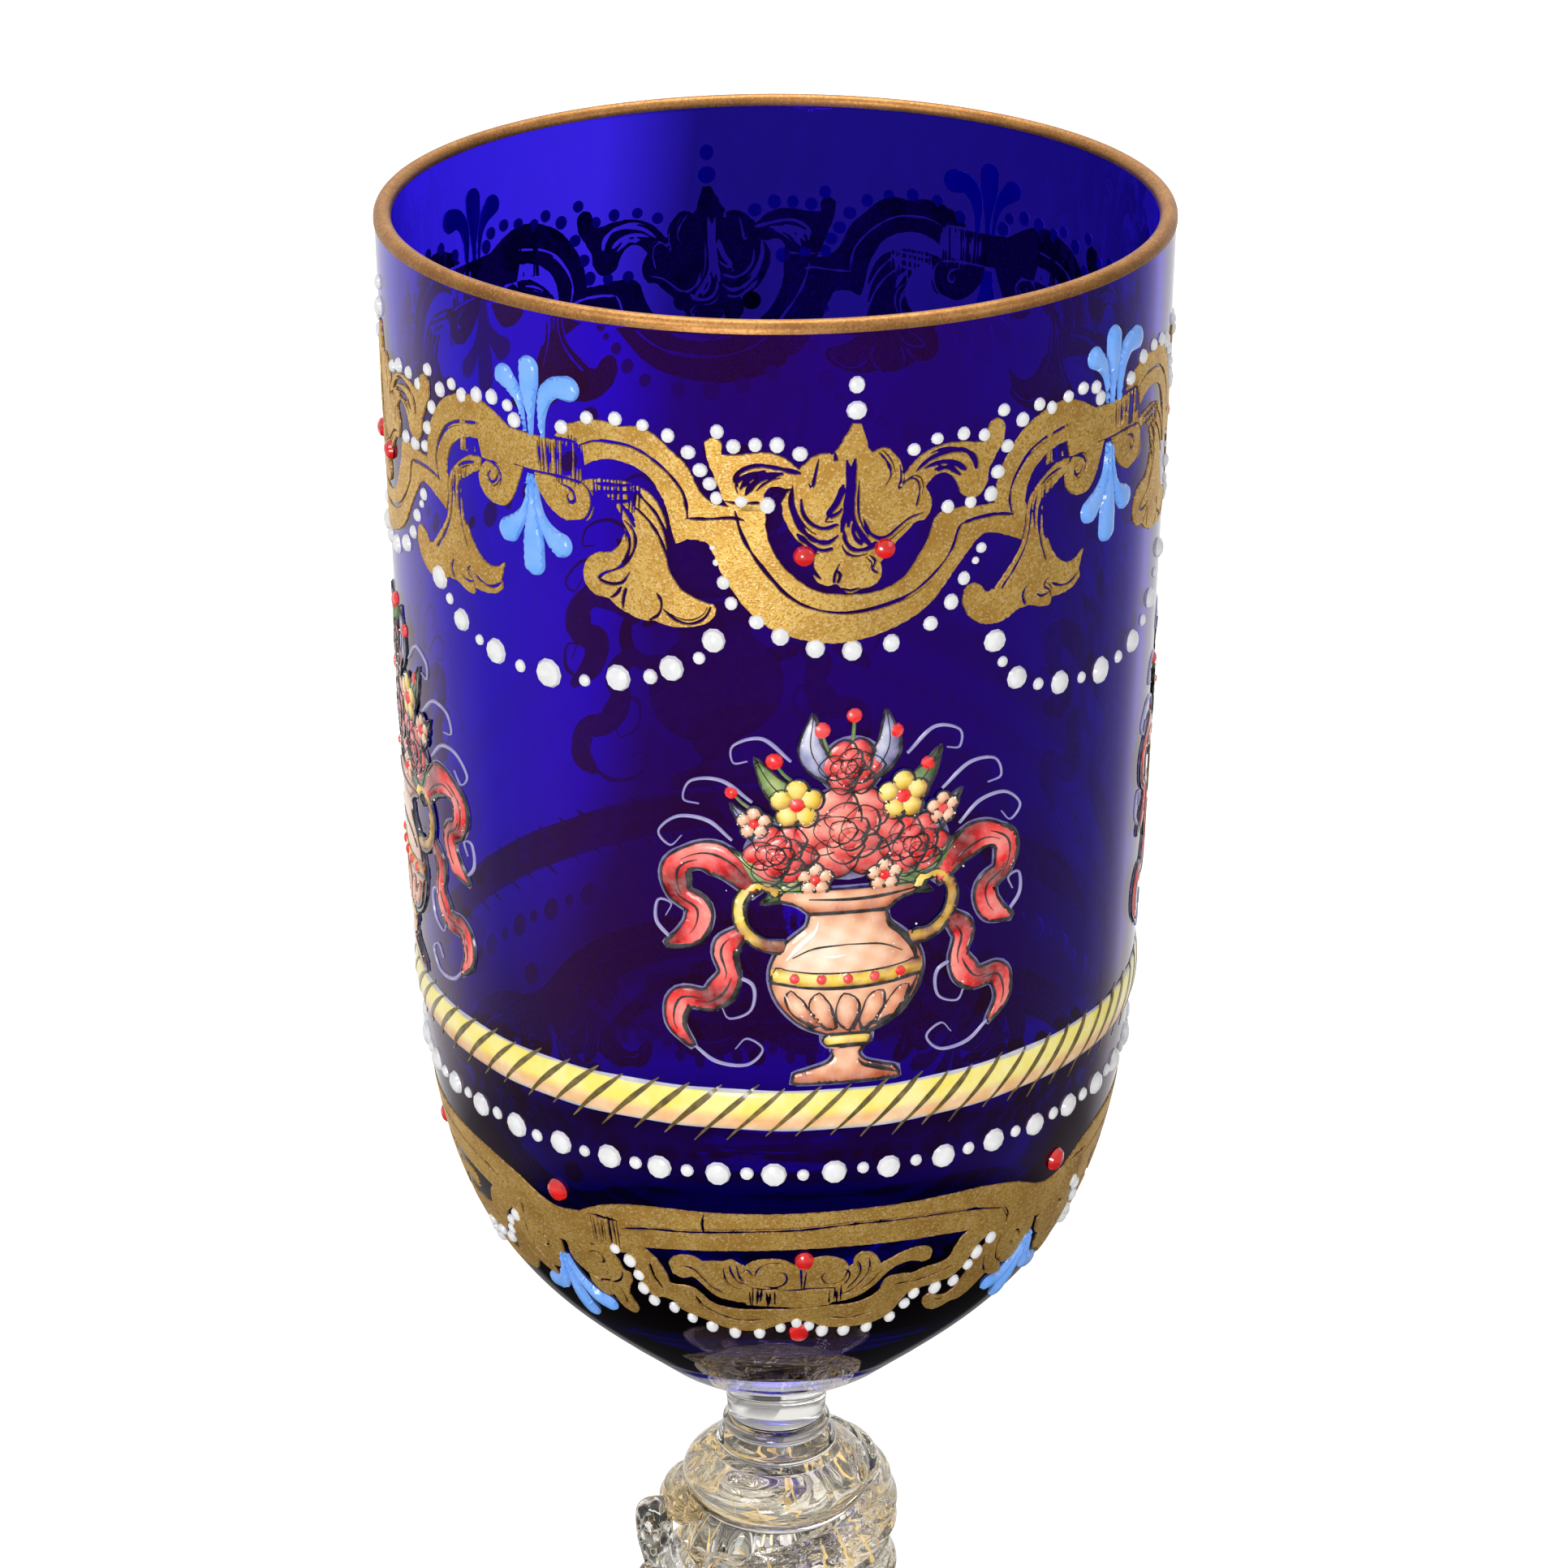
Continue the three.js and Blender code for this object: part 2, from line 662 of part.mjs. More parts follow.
addMesh('bowl', bowlGeometry(), 'blueGlass');
addMesh('bowl_base_cap', baseCapGeometry(), 'clearGlass');
addMesh('stem_neck', turned(ringProfile(neckZ, NECK_HEIGHT, NECK_RADIUS - 0.1, NECK_RADIUS)), 'clearGlass');
NECK_RING_RADII.forEach((radius, i) => {
  const z = neckZ - (i + 1) * NECK_RING_HEIGHT;
  addMesh(`neck_ring_${i + 1}`, turned(ringProfile(z, NECK_RING_HEIGHT, NECK_RADIUS, radius)), 'clearGlass');
});
const shoulderTopRadius = NECK_RING_RADII[NECK_RING_RADII.length - 1];
const shoulderProfile = knopProfile(
  shoulderKnopZ,
  SHOULDER_KNOP_HEIGHT,
  SHOULDER_KNOP_RADIUS,
  SHOULDER_SEAT_RADIUS,
  shoulderTopRadius,
);
addMesh('shoulder_knop', cutByCanes(turned(shoulderProfile)), 'flakedGlass');
addMesh('ribbed_knop', cutByCanes(ribbedKnopGeometry()), 'flakedGlass');
const coreWaist = CORE_RADIUS + CORE_SWELL;
const coreProfile = knopProfile(coreZ, CORE_HEIGHT, coreWaist, CORE_RADIUS, CORE_RADIUS, 5);
addMesh('stem_core', cutByCanes(turned(coreProfile)), 'flakedGlass');
addMesh('winding_cane_right', caneGeometry(caneStarts[0]), 'flakedGlass');
addMesh('winding_cane_left', caneGeometry(caneStarts[1]), 'flakedGlass');
addMesh('pincered_crest', crestGeometry(), 'flakedGlass');

const coreRingProfile = ringProfile(coreRingZ, CORE_RING_HEIGHT, CORE_RADIUS, CORE_RING_RADIUS);
const balusterProfile = knopProfile(
  balusterZ,
  BALUSTER_HEIGHT,
  BALUSTER_RADIUS,
  BALUSTER_FOOT_RADIUS,
  CORE_RADIUS,
);
const balusterRingProfile = ringProfile(
  balusterRingZ,
  BALUSTER_RING_HEIGHT,
  BALUSTER_FOOT_RADIUS,
  BALUSTER_RING_RADIUS,
);
const baseKnopProfile = ringProfile(baseKnopZ, BASE_KNOP_HEIGHT, BASE_KNOP_SEAT_RADIUS, BASE_KNOP_RADIUS);
const footCollarProfile = ringProfile(footCollarZ, FOOT_COLLAR_HEIGHT, FOOT_TOP_RADIUS, FOOT_COLLAR_RADIUS);
addMesh('core_ring', turned(coreRingProfile), 'clearGlass');
addMesh('baluster', turned(balusterProfile), 'flakedGlass');
addMesh('baluster_ring', turned(balusterRingProfile), 'clearGlass');
addMesh('base_knop', turned(baseKnopProfile), 'flakedGlass');
addMesh('foot_collar', turned(footCollarProfile), 'clearGlass');
addMesh('foot', footGeometry(), 'clearGlass');

addMesh('rim_gilding', giltRimGeometry(), 'gilding');
addMesh('rope_band', ropeBandGeometry(), 'ropeEnamel');

const upperGilding = { thickness: GILDING_THICKNESS, drop: UPPER_FRIEZE_DROP };
const lowerGilding = { thickness: GILDING_THICKNESS, drop: lowerFriezeDrop };
const upperEnamel = { thickness: ENAMEL_THICKNESS, drop: UPPER_FRIEZE_DROP };
const lowerEnamel = { thickness: ENAMEL_THICKNESS, drop: lowerFriezeDrop };
const urnEnamel = { thickness: ENAMEL_THICKNESS, drop: ropeTopDrop, stretch: urnStretch };
const upperPlume = plume(UPPER_PLUME_LENGTH, PLUME_GAP);
const dropPlume = plume(-DROP_PLUME_LENGTH, -UPPER_BAR_WIDTH - PLUME_GAP);
const hangingPlume = plume(-HANGING_PLUME_LENGTH, -HANGING_PLUME_DROP);
const upperPlumeTurn = UPPER_FRIEZE_TURN + halfRepeat;
const linkTurn = LOWER_FRIEZE_TURN + halfRepeat;

addRepeated('scrollwork', 'gilding', UPPER_FRIEZE_TURN, scrollworkHalf, upperGilding);
addRepeated('acanthus', 'gilding', UPPER_FRIEZE_TURN, acanthusHalf, upperGilding);
addRepeated('cartouche', 'gilding', LOWER_FRIEZE_TURN, cartoucheHalf, { ...lowerGilding, hole: cartoucheHole });
addRepeated('fruit_basket', 'gilding', LOWER_FRIEZE_TURN, basketHalf, lowerGilding);
addRepeated('linking_leaf', 'gilding', linkTurn, linkingLeafHalf, lowerGilding);
addRepeated('upper_plume', 'blueEnamel', upperPlumeTurn, upperPlume, upperEnamel);
addRepeated('drop_plume', 'blueEnamel', upperPlumeTurn, dropPlume, upperEnamel);
addRepeated('hanging_plume', 'blueEnamel', linkTurn, hangingPlume, lowerEnamel);
addRepeated('flower_urn', 'sceneEnamel', UPPER_FRIEZE_TURN, urnHalf, urnEnamel);

console.log(`least gap between the canes: ${leastCaneGap().toFixed(2)} mm`);

export default goblet;
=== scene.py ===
"""A stemmed goblet: a deep blue blown bowl with fired gilding and raised enamel, on a clear stem of
gold-flecked knops and wound canes. Laid out as an add-on whose operators each make one kind of piece.
Metres, +Z up; the goblet's axis is Z. Drawn ornament is in millimetres: across the unrolled bowl, and
down from the rim."""

import math
import random

import bpy
import numpy as np
from mathutils import Matrix, Vector
from mathutils.geometry import delaunay_2d_cdt


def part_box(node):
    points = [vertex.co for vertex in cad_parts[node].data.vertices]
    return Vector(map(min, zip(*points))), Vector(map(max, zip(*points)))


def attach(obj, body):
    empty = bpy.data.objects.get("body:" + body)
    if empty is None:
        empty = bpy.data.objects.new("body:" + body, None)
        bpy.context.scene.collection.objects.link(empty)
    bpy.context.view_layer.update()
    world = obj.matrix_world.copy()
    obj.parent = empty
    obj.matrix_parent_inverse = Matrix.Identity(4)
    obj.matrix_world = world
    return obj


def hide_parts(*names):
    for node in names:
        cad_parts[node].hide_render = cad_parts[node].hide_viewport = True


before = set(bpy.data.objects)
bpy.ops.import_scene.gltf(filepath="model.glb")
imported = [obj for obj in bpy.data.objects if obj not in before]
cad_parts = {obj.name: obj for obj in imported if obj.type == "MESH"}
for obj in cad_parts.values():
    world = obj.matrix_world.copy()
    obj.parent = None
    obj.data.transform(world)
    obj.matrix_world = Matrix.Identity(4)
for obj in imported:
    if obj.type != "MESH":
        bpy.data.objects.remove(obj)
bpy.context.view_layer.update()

bl_info = {
    "name": "Enamelled Goblet",
    "version": (1, 0, 0),
    "blender": (4, 5, 0),
    "location": "3D View > Sidebar > Goblet",
    "description": "Models a blue glass goblet with gilding, enamel and a gold-flecked stem",
    "category": "Add Mesh",
}

MM = 0.001


def top_of(node):
    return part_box(node)[1].z


def bottom_of(node):
    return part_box(node)[0].z


def radius_of(node):
    low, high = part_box(node)
    return (high.x - low.x) / 2


RIM_Z = top_of("rim_gilding")
RIM_RADIUS = radius_of("bowl")
BOWL_BOTTOM_Z = bottom_of("bowl")
FOOT_RADIUS = 39 * MM
SAME_PLACE = 0.0005 * MM
REPEATS = 4
REPEAT_TURN = math.tau / REPEATS

# The bowl's outer wall, in millimetres from the rim
STRAIGHT_WALL = 75
WALL_TAPER = 1.7
WALL_BELLY = 0.35
WALL_HANDLE = 0.65
WALL_HANDLE_INSET = 1
CAP_RADIUS = 13.5
CAP_HEIGHT = 5.5
CAP_FLARE_HEIGHT = 3.5
CAP_HANDLE_OUT = 0.69
CAP_HANDLE_UP = 0.28
FLOOR_THICKNESS = 4.5
FLOOR_HANDLE_DOWN = 0.74
FLOOR_HANDLE_OUT = 0.63
DRAWN_RADIUS = 39
DRAWN_REPEAT = DRAWN_RADIUS * REPEAT_TURN
LIP_DROP = -0.12
LIP_END = LIP_DROP + 0.9
SEAM_OVERLAP = 0.06 * MM
CAP_GAP = 0.02


def screen(red, green, blue):
    """A colour given as it looks on a screen, 0 to 255, as linear red, green, blue and alpha."""
    parts = [value / 255 for value in (red, green, blue)]
    linear = [c / 12.92 if c <= 0.04045 else ((c + 0.055) / 1.055) ** 2.4 for c in parts]
    return (*linear, 1.0)


# Settings


def length(name, description, default, smallest=0.0):
    return bpy.props.FloatProperty(
        name=name, description=description, default=default, min=smallest,
        subtype="DISTANCE", unit="LENGTH", precision=5,
    )


def tint(name, description, default):
    return bpy.props.FloatVectorProperty(
        name=name, description=description, default=default, size=4, min=0, max=1, subtype="COLOR",
    )


def count(name, description, default, smallest=1):
    return bpy.props.IntProperty(name=name, description=description, default=default, min=smallest)


class GobletSizes(bpy.types.PropertyGroup):
    bowl_wall: length("Bowl wall", "Thickness of the blown wall", 1.6 * MM, 0.5 * MM)
    gilding_rise: length("Gilding rise", "How far the gilding stands off the glass", 0.12 * MM)
    enamel_rise: length("Enamel rise", "How far the drops of enamel stand off the glass", 0.55 * MM)
    paint_rise: length("Paint rise", "How far the painted scene stands off the glass", 0.22 * MM)
    engraved_line: length("Engraved line", "Width of the lines scratched through the gilding", 0.36 * MM)
    pearl: length("Pearl", "Radius of a large enamel pearl", 1.3 * MM, 0.3 * MM)
    cane_flutes: count("Cane flutes", "Flutes pressed round each wound cane", 11)
    knop_ribs: count("Knop ribs", "Ribs pressed round the gold-leaf knop", 12)
    flakes: count("Gold flakes", "Flakes of gold leaf in each knop and cane", 170)


class GobletColours(bpy.types.PropertyGroup):
    blue_glass: tint("Blue glass", "Tint of the bowl's glass", (0.20, 0.13, 0.93, 1))
    clear_glass: tint("Clear glass", "Tint of the stem's clear glass", (0.945, 0.93, 0.905, 1))
    flecked_glass: tint("Flecked glass", "Tint of the gold-flecked glass", (0.98, 0.955, 0.895, 1))
    gold: tint("Gold", "Fired gilding", screen(233, 191, 100))
    worn_gold: tint("Worn gold", "Gilding where it is thin", screen(200, 150, 66))
    leaf: tint("Gold leaf", "Flakes held in the stem", screen(238, 208, 146))
    plume: tint("Plume blue", "Light blue enamel drops", screen(104, 162, 240))
    pearl: tint("Pearl white", "White enamel pearls", screen(226, 226, 226))
    jewel: tint("Jewel red", "Red enamel jewels", screen(222, 16, 16))
    rope_upper: tint("Rope yellow", "Upper half of the rope band", screen(240, 222, 104))
    rope_lower: tint("Rope peach", "Lower half of the rope band", screen(232, 178, 122))
    line: tint("Line", "Dark outlines of the painted scene", screen(26, 16, 22))


# Outlines and curves, drawn in millimetres


def bezier(points, steps):
    """Points along a Bezier curve of any degree."""
    made = []
    for i in range(steps + 1):
        level = [Vector(p) for p in points]
        while len(level) > 1:
            level = [a.lerp(b, i / steps) for a, b in zip(level, level[1:])]
        made.append(level[0])
    return made


def smooth(points, step=0.4, closed=False):
    """A rounded curve through the points, with a point about every step."""
    points = [Vector(p) for p in points]
    if len(points) < 3 and not closed:
        pieces = max(1, round((points[-1] - points[0]).length / step))
        return [points[0].lerp(points[-1], i / pieces) for i in range(pieces + 1)]
    if closed:
        padded = [points[-1], *points, points[0], points[1]]
    else:
        padded = [2 * points[0] - points[1], *points, 2 * points[-1] - points[-2]]
    made = []
    for before, start, end, after in zip(padded, padded[1:], padded[2:], padded[3:]):
        pieces = max(1, math.ceil((end - start).length / step))
        for i in range(pieces):
            t = i / pieces
            pull = (end - before) * t + (2 * before - 5 * start + 4 * end - after) * t * t
            made.append(start + (pull + (3 * start - before - 3 * end + after) * t ** 3) / 2)
    if not closed:
        made.append(points[-1])
    return made


def outline(*runs, step=0.4):
    """A closed outline of rounded runs that meet at corners."""
    return [p for run in runs for p in smooth(run, step)]


def ring(x, y, radius):
    pieces = max(8, round(math.tau * radius / 0.4))
    turns = [math.tau * i / pieces for i in range(pieces)]
    return [Vector((x + radius * math.cos(t), y + radius * math.sin(t))) for t in turns]


def goes_left(shape):
    """Whether a closed outline turns the same way as from X to Y."""
    return sum(a.x * b.y - b.x * a.y for a, b in zip(shape, shape[1:] + shape[:1])) > 0


def along_stroke(points, widths, step):
    """Goes along a rounded curve: each place, the direction to its left and half the width there."""
    spine = smooth(points, step)
    last = len(spine) - 1
    for i, here in enumerate(spine):
        along = (spine[min(i + 1, last)] - spine[max(i - 1, 0)]).normalized()
        reach = i / last * (len(widths) - 1)
        low = min(int(reach), len(widths) - 2)
        width = widths[low] + (widths[low + 1] - widths[low]) * (reach - low)
        yield here, Vector((-along.y, along.x)), width / 2


def brush(points, widths, step=0.35):
    """The closed outline of a brush stroke whose width changes evenly from one given width to the next."""
    left, right = [], []
    for here, side, half in along_stroke(points, widths, step):
        left.append(here + side * half)
        right.append(here - side * half)
    return left + right[::-1]


def teardrop(points, widths, bulb):
    """A drop of enamel pulled along a line: the brushed stem swells into a round end."""
    stem = brush(points, [*widths[:-1], bulb * 2], step=0.3)
    half = len(stem) // 2
    right, left = stem[half - 1], stem[half]
    centre, across = (right + left) / 2, (right - left) / 2
    ahead = Vector((-across.y, across.x))
    if ahead.dot(Vector(points[-1]) - Vector(points[-2])) < 0:
        ahead = -ahead
    steps = 14
    cap = [centre + across * math.cos(math.pi * i / steps) + ahead * math.sin(math.pi * i / steps)
           for i in range(1, steps)]
    return [*stem[:half], *cap, *stem[half:]]


def stray(generator, reach):
    return Vector((generator.uniform(-reach, reach), generator.uniform(-reach, reach)))


def torn(generator, reach, *shapes):
    """Outlines with the slightly torn edge of gold fired onto glass: each point strays up to that reach."""
    return [[p + stray(generator, reach) for p in outline(*runs)] for runs in shapes]


def sketched(lines, width, seed):
    """Engraved lines: each is uneven and narrow at its ends, and most have a second try beside them."""
    generator = random.Random(seed)
    made = []
    for points in lines:
        spine = smooth(points, step=0.5)
        bulge = [width * generator.uniform(0.65, 1.35) for _ in range(max(3, len(spine) // 2))]
        made.append(brush(spine[::2] + spine[-1:], [width * 0.35, *bulge, width * 0.35], step=0.4))
        if len(spine) > 5 and generator.random() < 0.75:
            first = generator.randrange(0, len(spine) // 3)
            last = generator.randrange(2 * len(spine) // 3, len(spine))
            shift = stray(generator, 1).normalized() * width * 1.1
            again = [p + shift for p in spine[first:last:2]]
            if len(again) > 2:
                thin = [width * 0.2, width * 0.6, width * 0.45, width * 0.2]
                made.append(brush(again, thin, step=0.4))
    return made


def mirrored(points):
    return [(-x, y) for x, y in points]


def moved_on(points):
    """The same points, one repeat further round."""
    return [(x + DRAWN_REPEAT, y) for x, y in points]


# The unrolled bowl

WAIST = RIM_RADIUS / MM - WALL_TAPER
BOTTOM_DROP = (RIM_Z - BOWL_BOTTOM_Z) / MM
CAP_DROP = BOTTOM_DROP + CAP_HEIGHT
CURVED_DROP = CAP_DROP - STRAIGHT_WALL
UPPER_WALL = bezier([
    (RIM_RADIUS / MM, 0),
    ((RIM_RADIUS / MM + WAIST) / 2 + WALL_BELLY, STRAIGHT_WALL / 2),
    (WAIST, STRAIGHT_WALL),
], steps=60)
LOWER_WALL = bezier([
    (WAIST, STRAIGHT_WALL),
    (WAIST - WALL_HANDLE_INSET, STRAIGHT_WALL + WALL_HANDLE * CURVED_DROP),
    (CAP_RADIUS + CAP_HANDLE_OUT * (WAIST - CAP_RADIUS), CAP_DROP - CAP_HANDLE_UP * CURVED_DROP),
    (CAP_RADIUS, CAP_DROP),
], steps=120)
WALL = UPPER_WALL + LOWER_WALL[1:]
WALL_DROPS = np.array([p.y for p in WALL])
WALL_RADII = np.array([p.x for p in WALL])
WALL_SLOPES = np.gradient(WALL_RADII, WALL_DROPS)
BOTTOM_RADIUS = float(np.interp(BOTTOM_DROP, WALL_DROPS, WALL_RADII))


def on_wall(across, drops, lifts):
    """Places in metres for points drawn on the unrolled bowl and lifted off its outer wall."""
    across, drops, lifts = (np.asarray(values, float) for values in (across, drops, lifts))
    radii = np.interp(drops, WALL_DROPS, WALL_RADII)
    slopes = np.interp(drops, WALL_DROPS, WALL_SLOPES)
    lean = 1 / np.sqrt(1 + slopes * slopes)
    radii = (radii + lifts * lean) * MM
    heights = RIM_Z - (drops - lifts * slopes * lean) * MM
    angles = across / DRAWN_RADIUS
    return np.stack([radii * np.sin(angles), -radii * np.cos(angles), heights], -1)


# Meshes

INSIDE_ONLY = 1


def tube(rings, sides, backwards=False, joined=False):
    """The faces of a tube of so many rings of points, with its ends closed or joined to each other."""
    faces = []
    if not joined:
        faces = [tuple(range(sides)), tuple((rings - 1) * sides + side for side in range(sides))[::-1]]
    if not backwards:
        faces = [face[::-1] for face in faces]
    for row in range(rings if joined else rings - 1):
        on = ((row + 1) % rings - row) * sides
        for side in range(sides):
            a, b = row * sides + side, row * sides + (side + 1) % sides
            faces.append((a, a + on, b + on, b) if backwards else (a, b, b + on, a + on))
    return faces


def new_piece(name, points, faces, edges=()):
    mesh = bpy.data.meshes.new(name)
    mesh.from_pydata(points, edges, faces)
    piece = bpy.data.objects.new(name, mesh)
    bpy.context.collection.objects.link(piece)
    return piece


class Relief:
    """Gathers what is laid on the bowl as one mesh: sheets, domed pads, beads and strokes."""

    SUNK = -0.03
    BEAD_TILTS = [0, math.radians(32), math.radians(60)]

    def __init__(self):
        self.places, self.faces, self.kinds, self.paints = [], [], [], []

    def add(self, places, faces, kinds, paint=None):
        first = len(self.places)
        self.places.extend(places)
        self.faces.extend([tuple(first + i for i in face) for face in faces])
        self.kinds.extend(kinds if isinstance(kinds, list) else [kinds] * len(faces))
        self.paints.extend(np.broadcast_to((1, 1, 1) if paint is None else paint, (len(places), 3)))

    def sheet(self, shapes, rise, cuts=(), grid=1.3, dome=0.0, lift=0.0, paint=None, fringe=0.0):
        """Closed outlines laid on the wall. A dome rounds the sheet up from its edge over that width;
        without one its sides stand square, or spread by the fringe, which is the next kind. Cuts go right
        through. Paint is a rule that colours points by their place and how far they are from the edge."""
        points, rings = [], []
        for polygon in [*shapes, *cuts]:
            rings.append(list(range(len(points), len(points) + len(polygon))))
            points.extend(polygon if goes_left(polygon) else polygon[::-1])
        low = [min(p[i] for p in points) for i in (0, 1)]
        high = [max(p[i] for p in points) for i in (0, 1)]
        for row in range(int((high[1] - low[1]) / grid) + 1):
            for column in range(int((high[0] - low[0]) / grid) + 1):
                spot = (low[0] + (column + row % 2 / 2) * grid, low[1] + (row + 0.5) * grid)
                points.append(Vector(spot))
        flat, _, triangles, _, _, owners = delaunay_2d_cdt(points, [], rings, INSIDE_ONLY, 1e-5)
        solid = set(range(len(shapes)))
        kept = [t for t, own in zip(triangles, owners) if solid & set(own) and not set(own) - solid]
        used = sorted({i for t in kept for i in t})
        renumber = {old: new for new, old in enumerate(used)}
        kept = [tuple(renumber[i] for i in t) for t in kept]
        xy = np.array([flat[i] for i in used])
        sides = {(a, b) for t in kept for a, b in zip(t, t[1:] + t[:1])}
        border = [(a, b) for a, b in sides if (b, a) not in sides]
        edge = sorted({i for pair in border for i in pair})
        far = distance_to(xy, xy[edge])
        tops = np.full(len(xy), lift + rise)
        if dome:
            tops = lift + rise * np.sqrt(1 - (1 - np.clip(far / dome, 0, 1)) ** 2)
            tops[edge] = lift + self.SUNK
        foot = xy.copy()
        for a, b in border:
            along = xy[b] - xy[a]
            out = np.array([along[1], -along[0]]) / max(np.linalg.norm(along), 1e-6) * fringe / 2
            foot[a] += out
            foot[b] += out
        top = on_wall(xy[:, 0], xy[:, 1], tops)
        base = on_wall(foot[:, 0], foot[:, 1], np.full(len(xy), lift + self.SUNK))
        size = len(xy)
        rim_points = set(edge) if dome else set()
        under = [i if i in rim_points else i + size for i in range(size)]
        faces = [t[::-1] for t in kept] + [tuple(under[i] for i in t) for t in kept]
        colours = None if paint is None else np.tile(paint(xy, far), (2, 1))
        kinds = [0] * len(faces)
        if not dome:
            walls = [(a, b, b + size, a + size) for a, b in border]
            faces += walls
            kinds += [int(fringe > 0)] * len(walls)
        self.add([*top, *base], faces, kinds, colours)

    def bead(self, x, y, radius, rise, squash=1.0, lift=0.0, segments=10, paint=None):
        """A drop of enamel: half an egg standing on the wall."""
        turns = [math.tau * i / segments for i in range(segments)]
        rows = [(radius * math.cos(tilt), lift + rise * math.sin(tilt)) for tilt in self.BEAD_TILTS]
        rows[0] = (radius, lift + self.SUNK)
        across = [x + reach * math.cos(t) for reach, _ in rows for t in turns] + [x]
        drops = [y + reach * squash * math.sin(t) for reach, _ in rows for t in turns] + [y]
        lifts = [height for _, height in rows for _ in turns] + [lift + rise]
        faces = [tuple(range(segments))]
        for row in range(len(rows) - 1):
            for i in range(segments):
                a, b = row * segments + i, row * segments + (i + 1) % segments
                faces.append((a, a + segments, b + segments, b))
        last = (len(rows) - 1) * segments
        for i in range(segments):
            faces.append((last + i, len(rows) * segments, last + (i + 1) % segments))
        self.add([*on_wall(across, drops, lifts)], faces, 0, paint)

    def stroke(self, points, widths, rise, kind, lift, paint=None, step=0.6):
        """A raised brush stroke, with a ridge along its middle and its ends closed."""
        spots = [here + side * half * share for here, side, half in along_stroke(points, widths, step)
                 for share in (1, 0.45, -0.45, -1)]
        lifts = [lift + self.SUNK, lift + rise, lift + rise, lift + self.SUNK] * (len(spots) // 4)
        self.lay_tube(spots, lifts, kind, paint)

    def draped(self, points, widths, rise, ground):
        """A thin stroke of the next kind that follows a raised ground, whose height is given by the drop."""
        spots, lifts = [], []
        for here, side, half in along_stroke(points, widths, step=0.4):
            for share, lift in ((1, rise), (-1, rise), (-1, -0.12), (1, -0.12)):
                spots.append(here + side * half * share)
                lifts.append(ground(spots[-1].y) + lift)
        self.lay_tube(spots, lifts, 1)

    def lay_tube(self, spots, lifts, kind, paint=None):
        """A tube through rings of four places."""
        places = on_wall([p.x for p in spots], [p.y for p in spots], lifts)
        self.add([*places], tube(len(spots) // 4, 4), kind, paint)

    def piece(self, name, kinds, degrees, turn=0.0):
        """Makes the mesh, with a material for each kind, smooth across edges up to so many degrees."""
        piece = new_piece(name, [tuple(p) for p in self.places], self.faces)
        mesh = piece.data
        mesh.polygons.foreach_set("material_index", self.kinds)
        paint = mesh.color_attributes.new("paint", "FLOAT_COLOR", "POINT")
        flat = np.ones((len(self.paints), 4), np.float32)
        flat[:, :3] = np.array(self.paints)
        paint.data.foreach_set("color", flat.ravel())
        for kind in kinds:
            mesh.materials.append(surface(kind))
        mesh.transform(Matrix.Rotation(turn, 4, "Z"))
        mesh.validate()
        recalculate(piece)
        smooth_shade(piece, degrees)
        return piece


def distance_to(points, edge):
    """How far each point is from the nearest point of the edge."""
    nearest = np.full(len(points), np.inf)
    for start in range(0, len(edge), 400):
        part = edge[start:start + 400]
        gaps = np.linalg.norm(points[:, None, :] - part[None, :, :], axis=2)
        nearest = np.minimum(nearest, gaps.min(axis=1))
    return nearest


def pick_only(piece):
    bpy.ops.object.select_all(action="DESELECT")
    piece.select_set(True)
    bpy.context.view_layer.objects.active = piece


def recalculate(piece, merge=False):
    """Turns all faces outwards, after merging doubled points where asked."""
    pick_only(piece)
    bpy.ops.object.mode_set(mode="EDIT")
    bpy.ops.mesh.select_all(action="SELECT")
    if merge:
        bpy.ops.mesh.remove_doubles(threshold=SAME_PLACE)
    bpy.ops.mesh.normals_make_consistent(inside=False)
    bpy.ops.object.mode_set(mode="OBJECT")


def smooth_shade(piece, degrees):
    pick_only(piece)
    bpy.ops.object.shade_smooth_by_angle(angle=math.radians(degrees))


def turned(name, profile, segments):
    """Spins a profile of radius and height, in metres, once round the axis."""
    edges = [(i, i + 1) for i in range(len(profile) - 1)]
    piece = new_piece(name, [(radius, 0, z) for radius, z in profile], [], edges)
    pick_only(piece)
    bpy.ops.object.mode_set(mode="EDIT")
    bpy.ops.mesh.select_all(action="SELECT")
    bpy.ops.mesh.spin(steps=segments, angle=math.tau, center=(0, 0, 0), axis=(0, 0, 1))
    bpy.ops.object.mode_set(mode="OBJECT")
    recalculate(piece, merge=True)
    smooth_shade(piece, degrees=40)
    return piece


def clad(piece, kind, slot, *nodes):
    """Gives a piece its material, unless it has its own, and hides the nodes it stands for. The slot is not
    used.
    """
    if kind is not None:
        piece.data.materials.clear()
        piece.data.materials.append(surface(kind))
    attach(piece, "root")
    if nodes:
        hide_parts(*nodes)


# Node groups and materials

FINE_CLOUD = 900.0


def plug(tree, made, **inputs):
    """Fills a node's sockets, by name or by number as i0 or i1, with values or with what other nodes give."""
    for key, value in inputs.items():
        numbered = key[0] == "i" and key[1:].isdigit()
        socket = made.inputs[int(key[1:]) if numbered else key.replace("_", " ")]
        if isinstance(value, bpy.types.NodeSocket):
            tree.links.new(value, socket)
        else:
            socket.default_value = value
    return made


def node(tree, kind, choices=None, **inputs):
    """Adds a node with its own choices and with its sockets filled."""
    made = tree.nodes.new("ShaderNode" + kind)
    for key, value in (choices or {}).items():
        setattr(made, key, value)
    return plug(tree, made, **inputs)


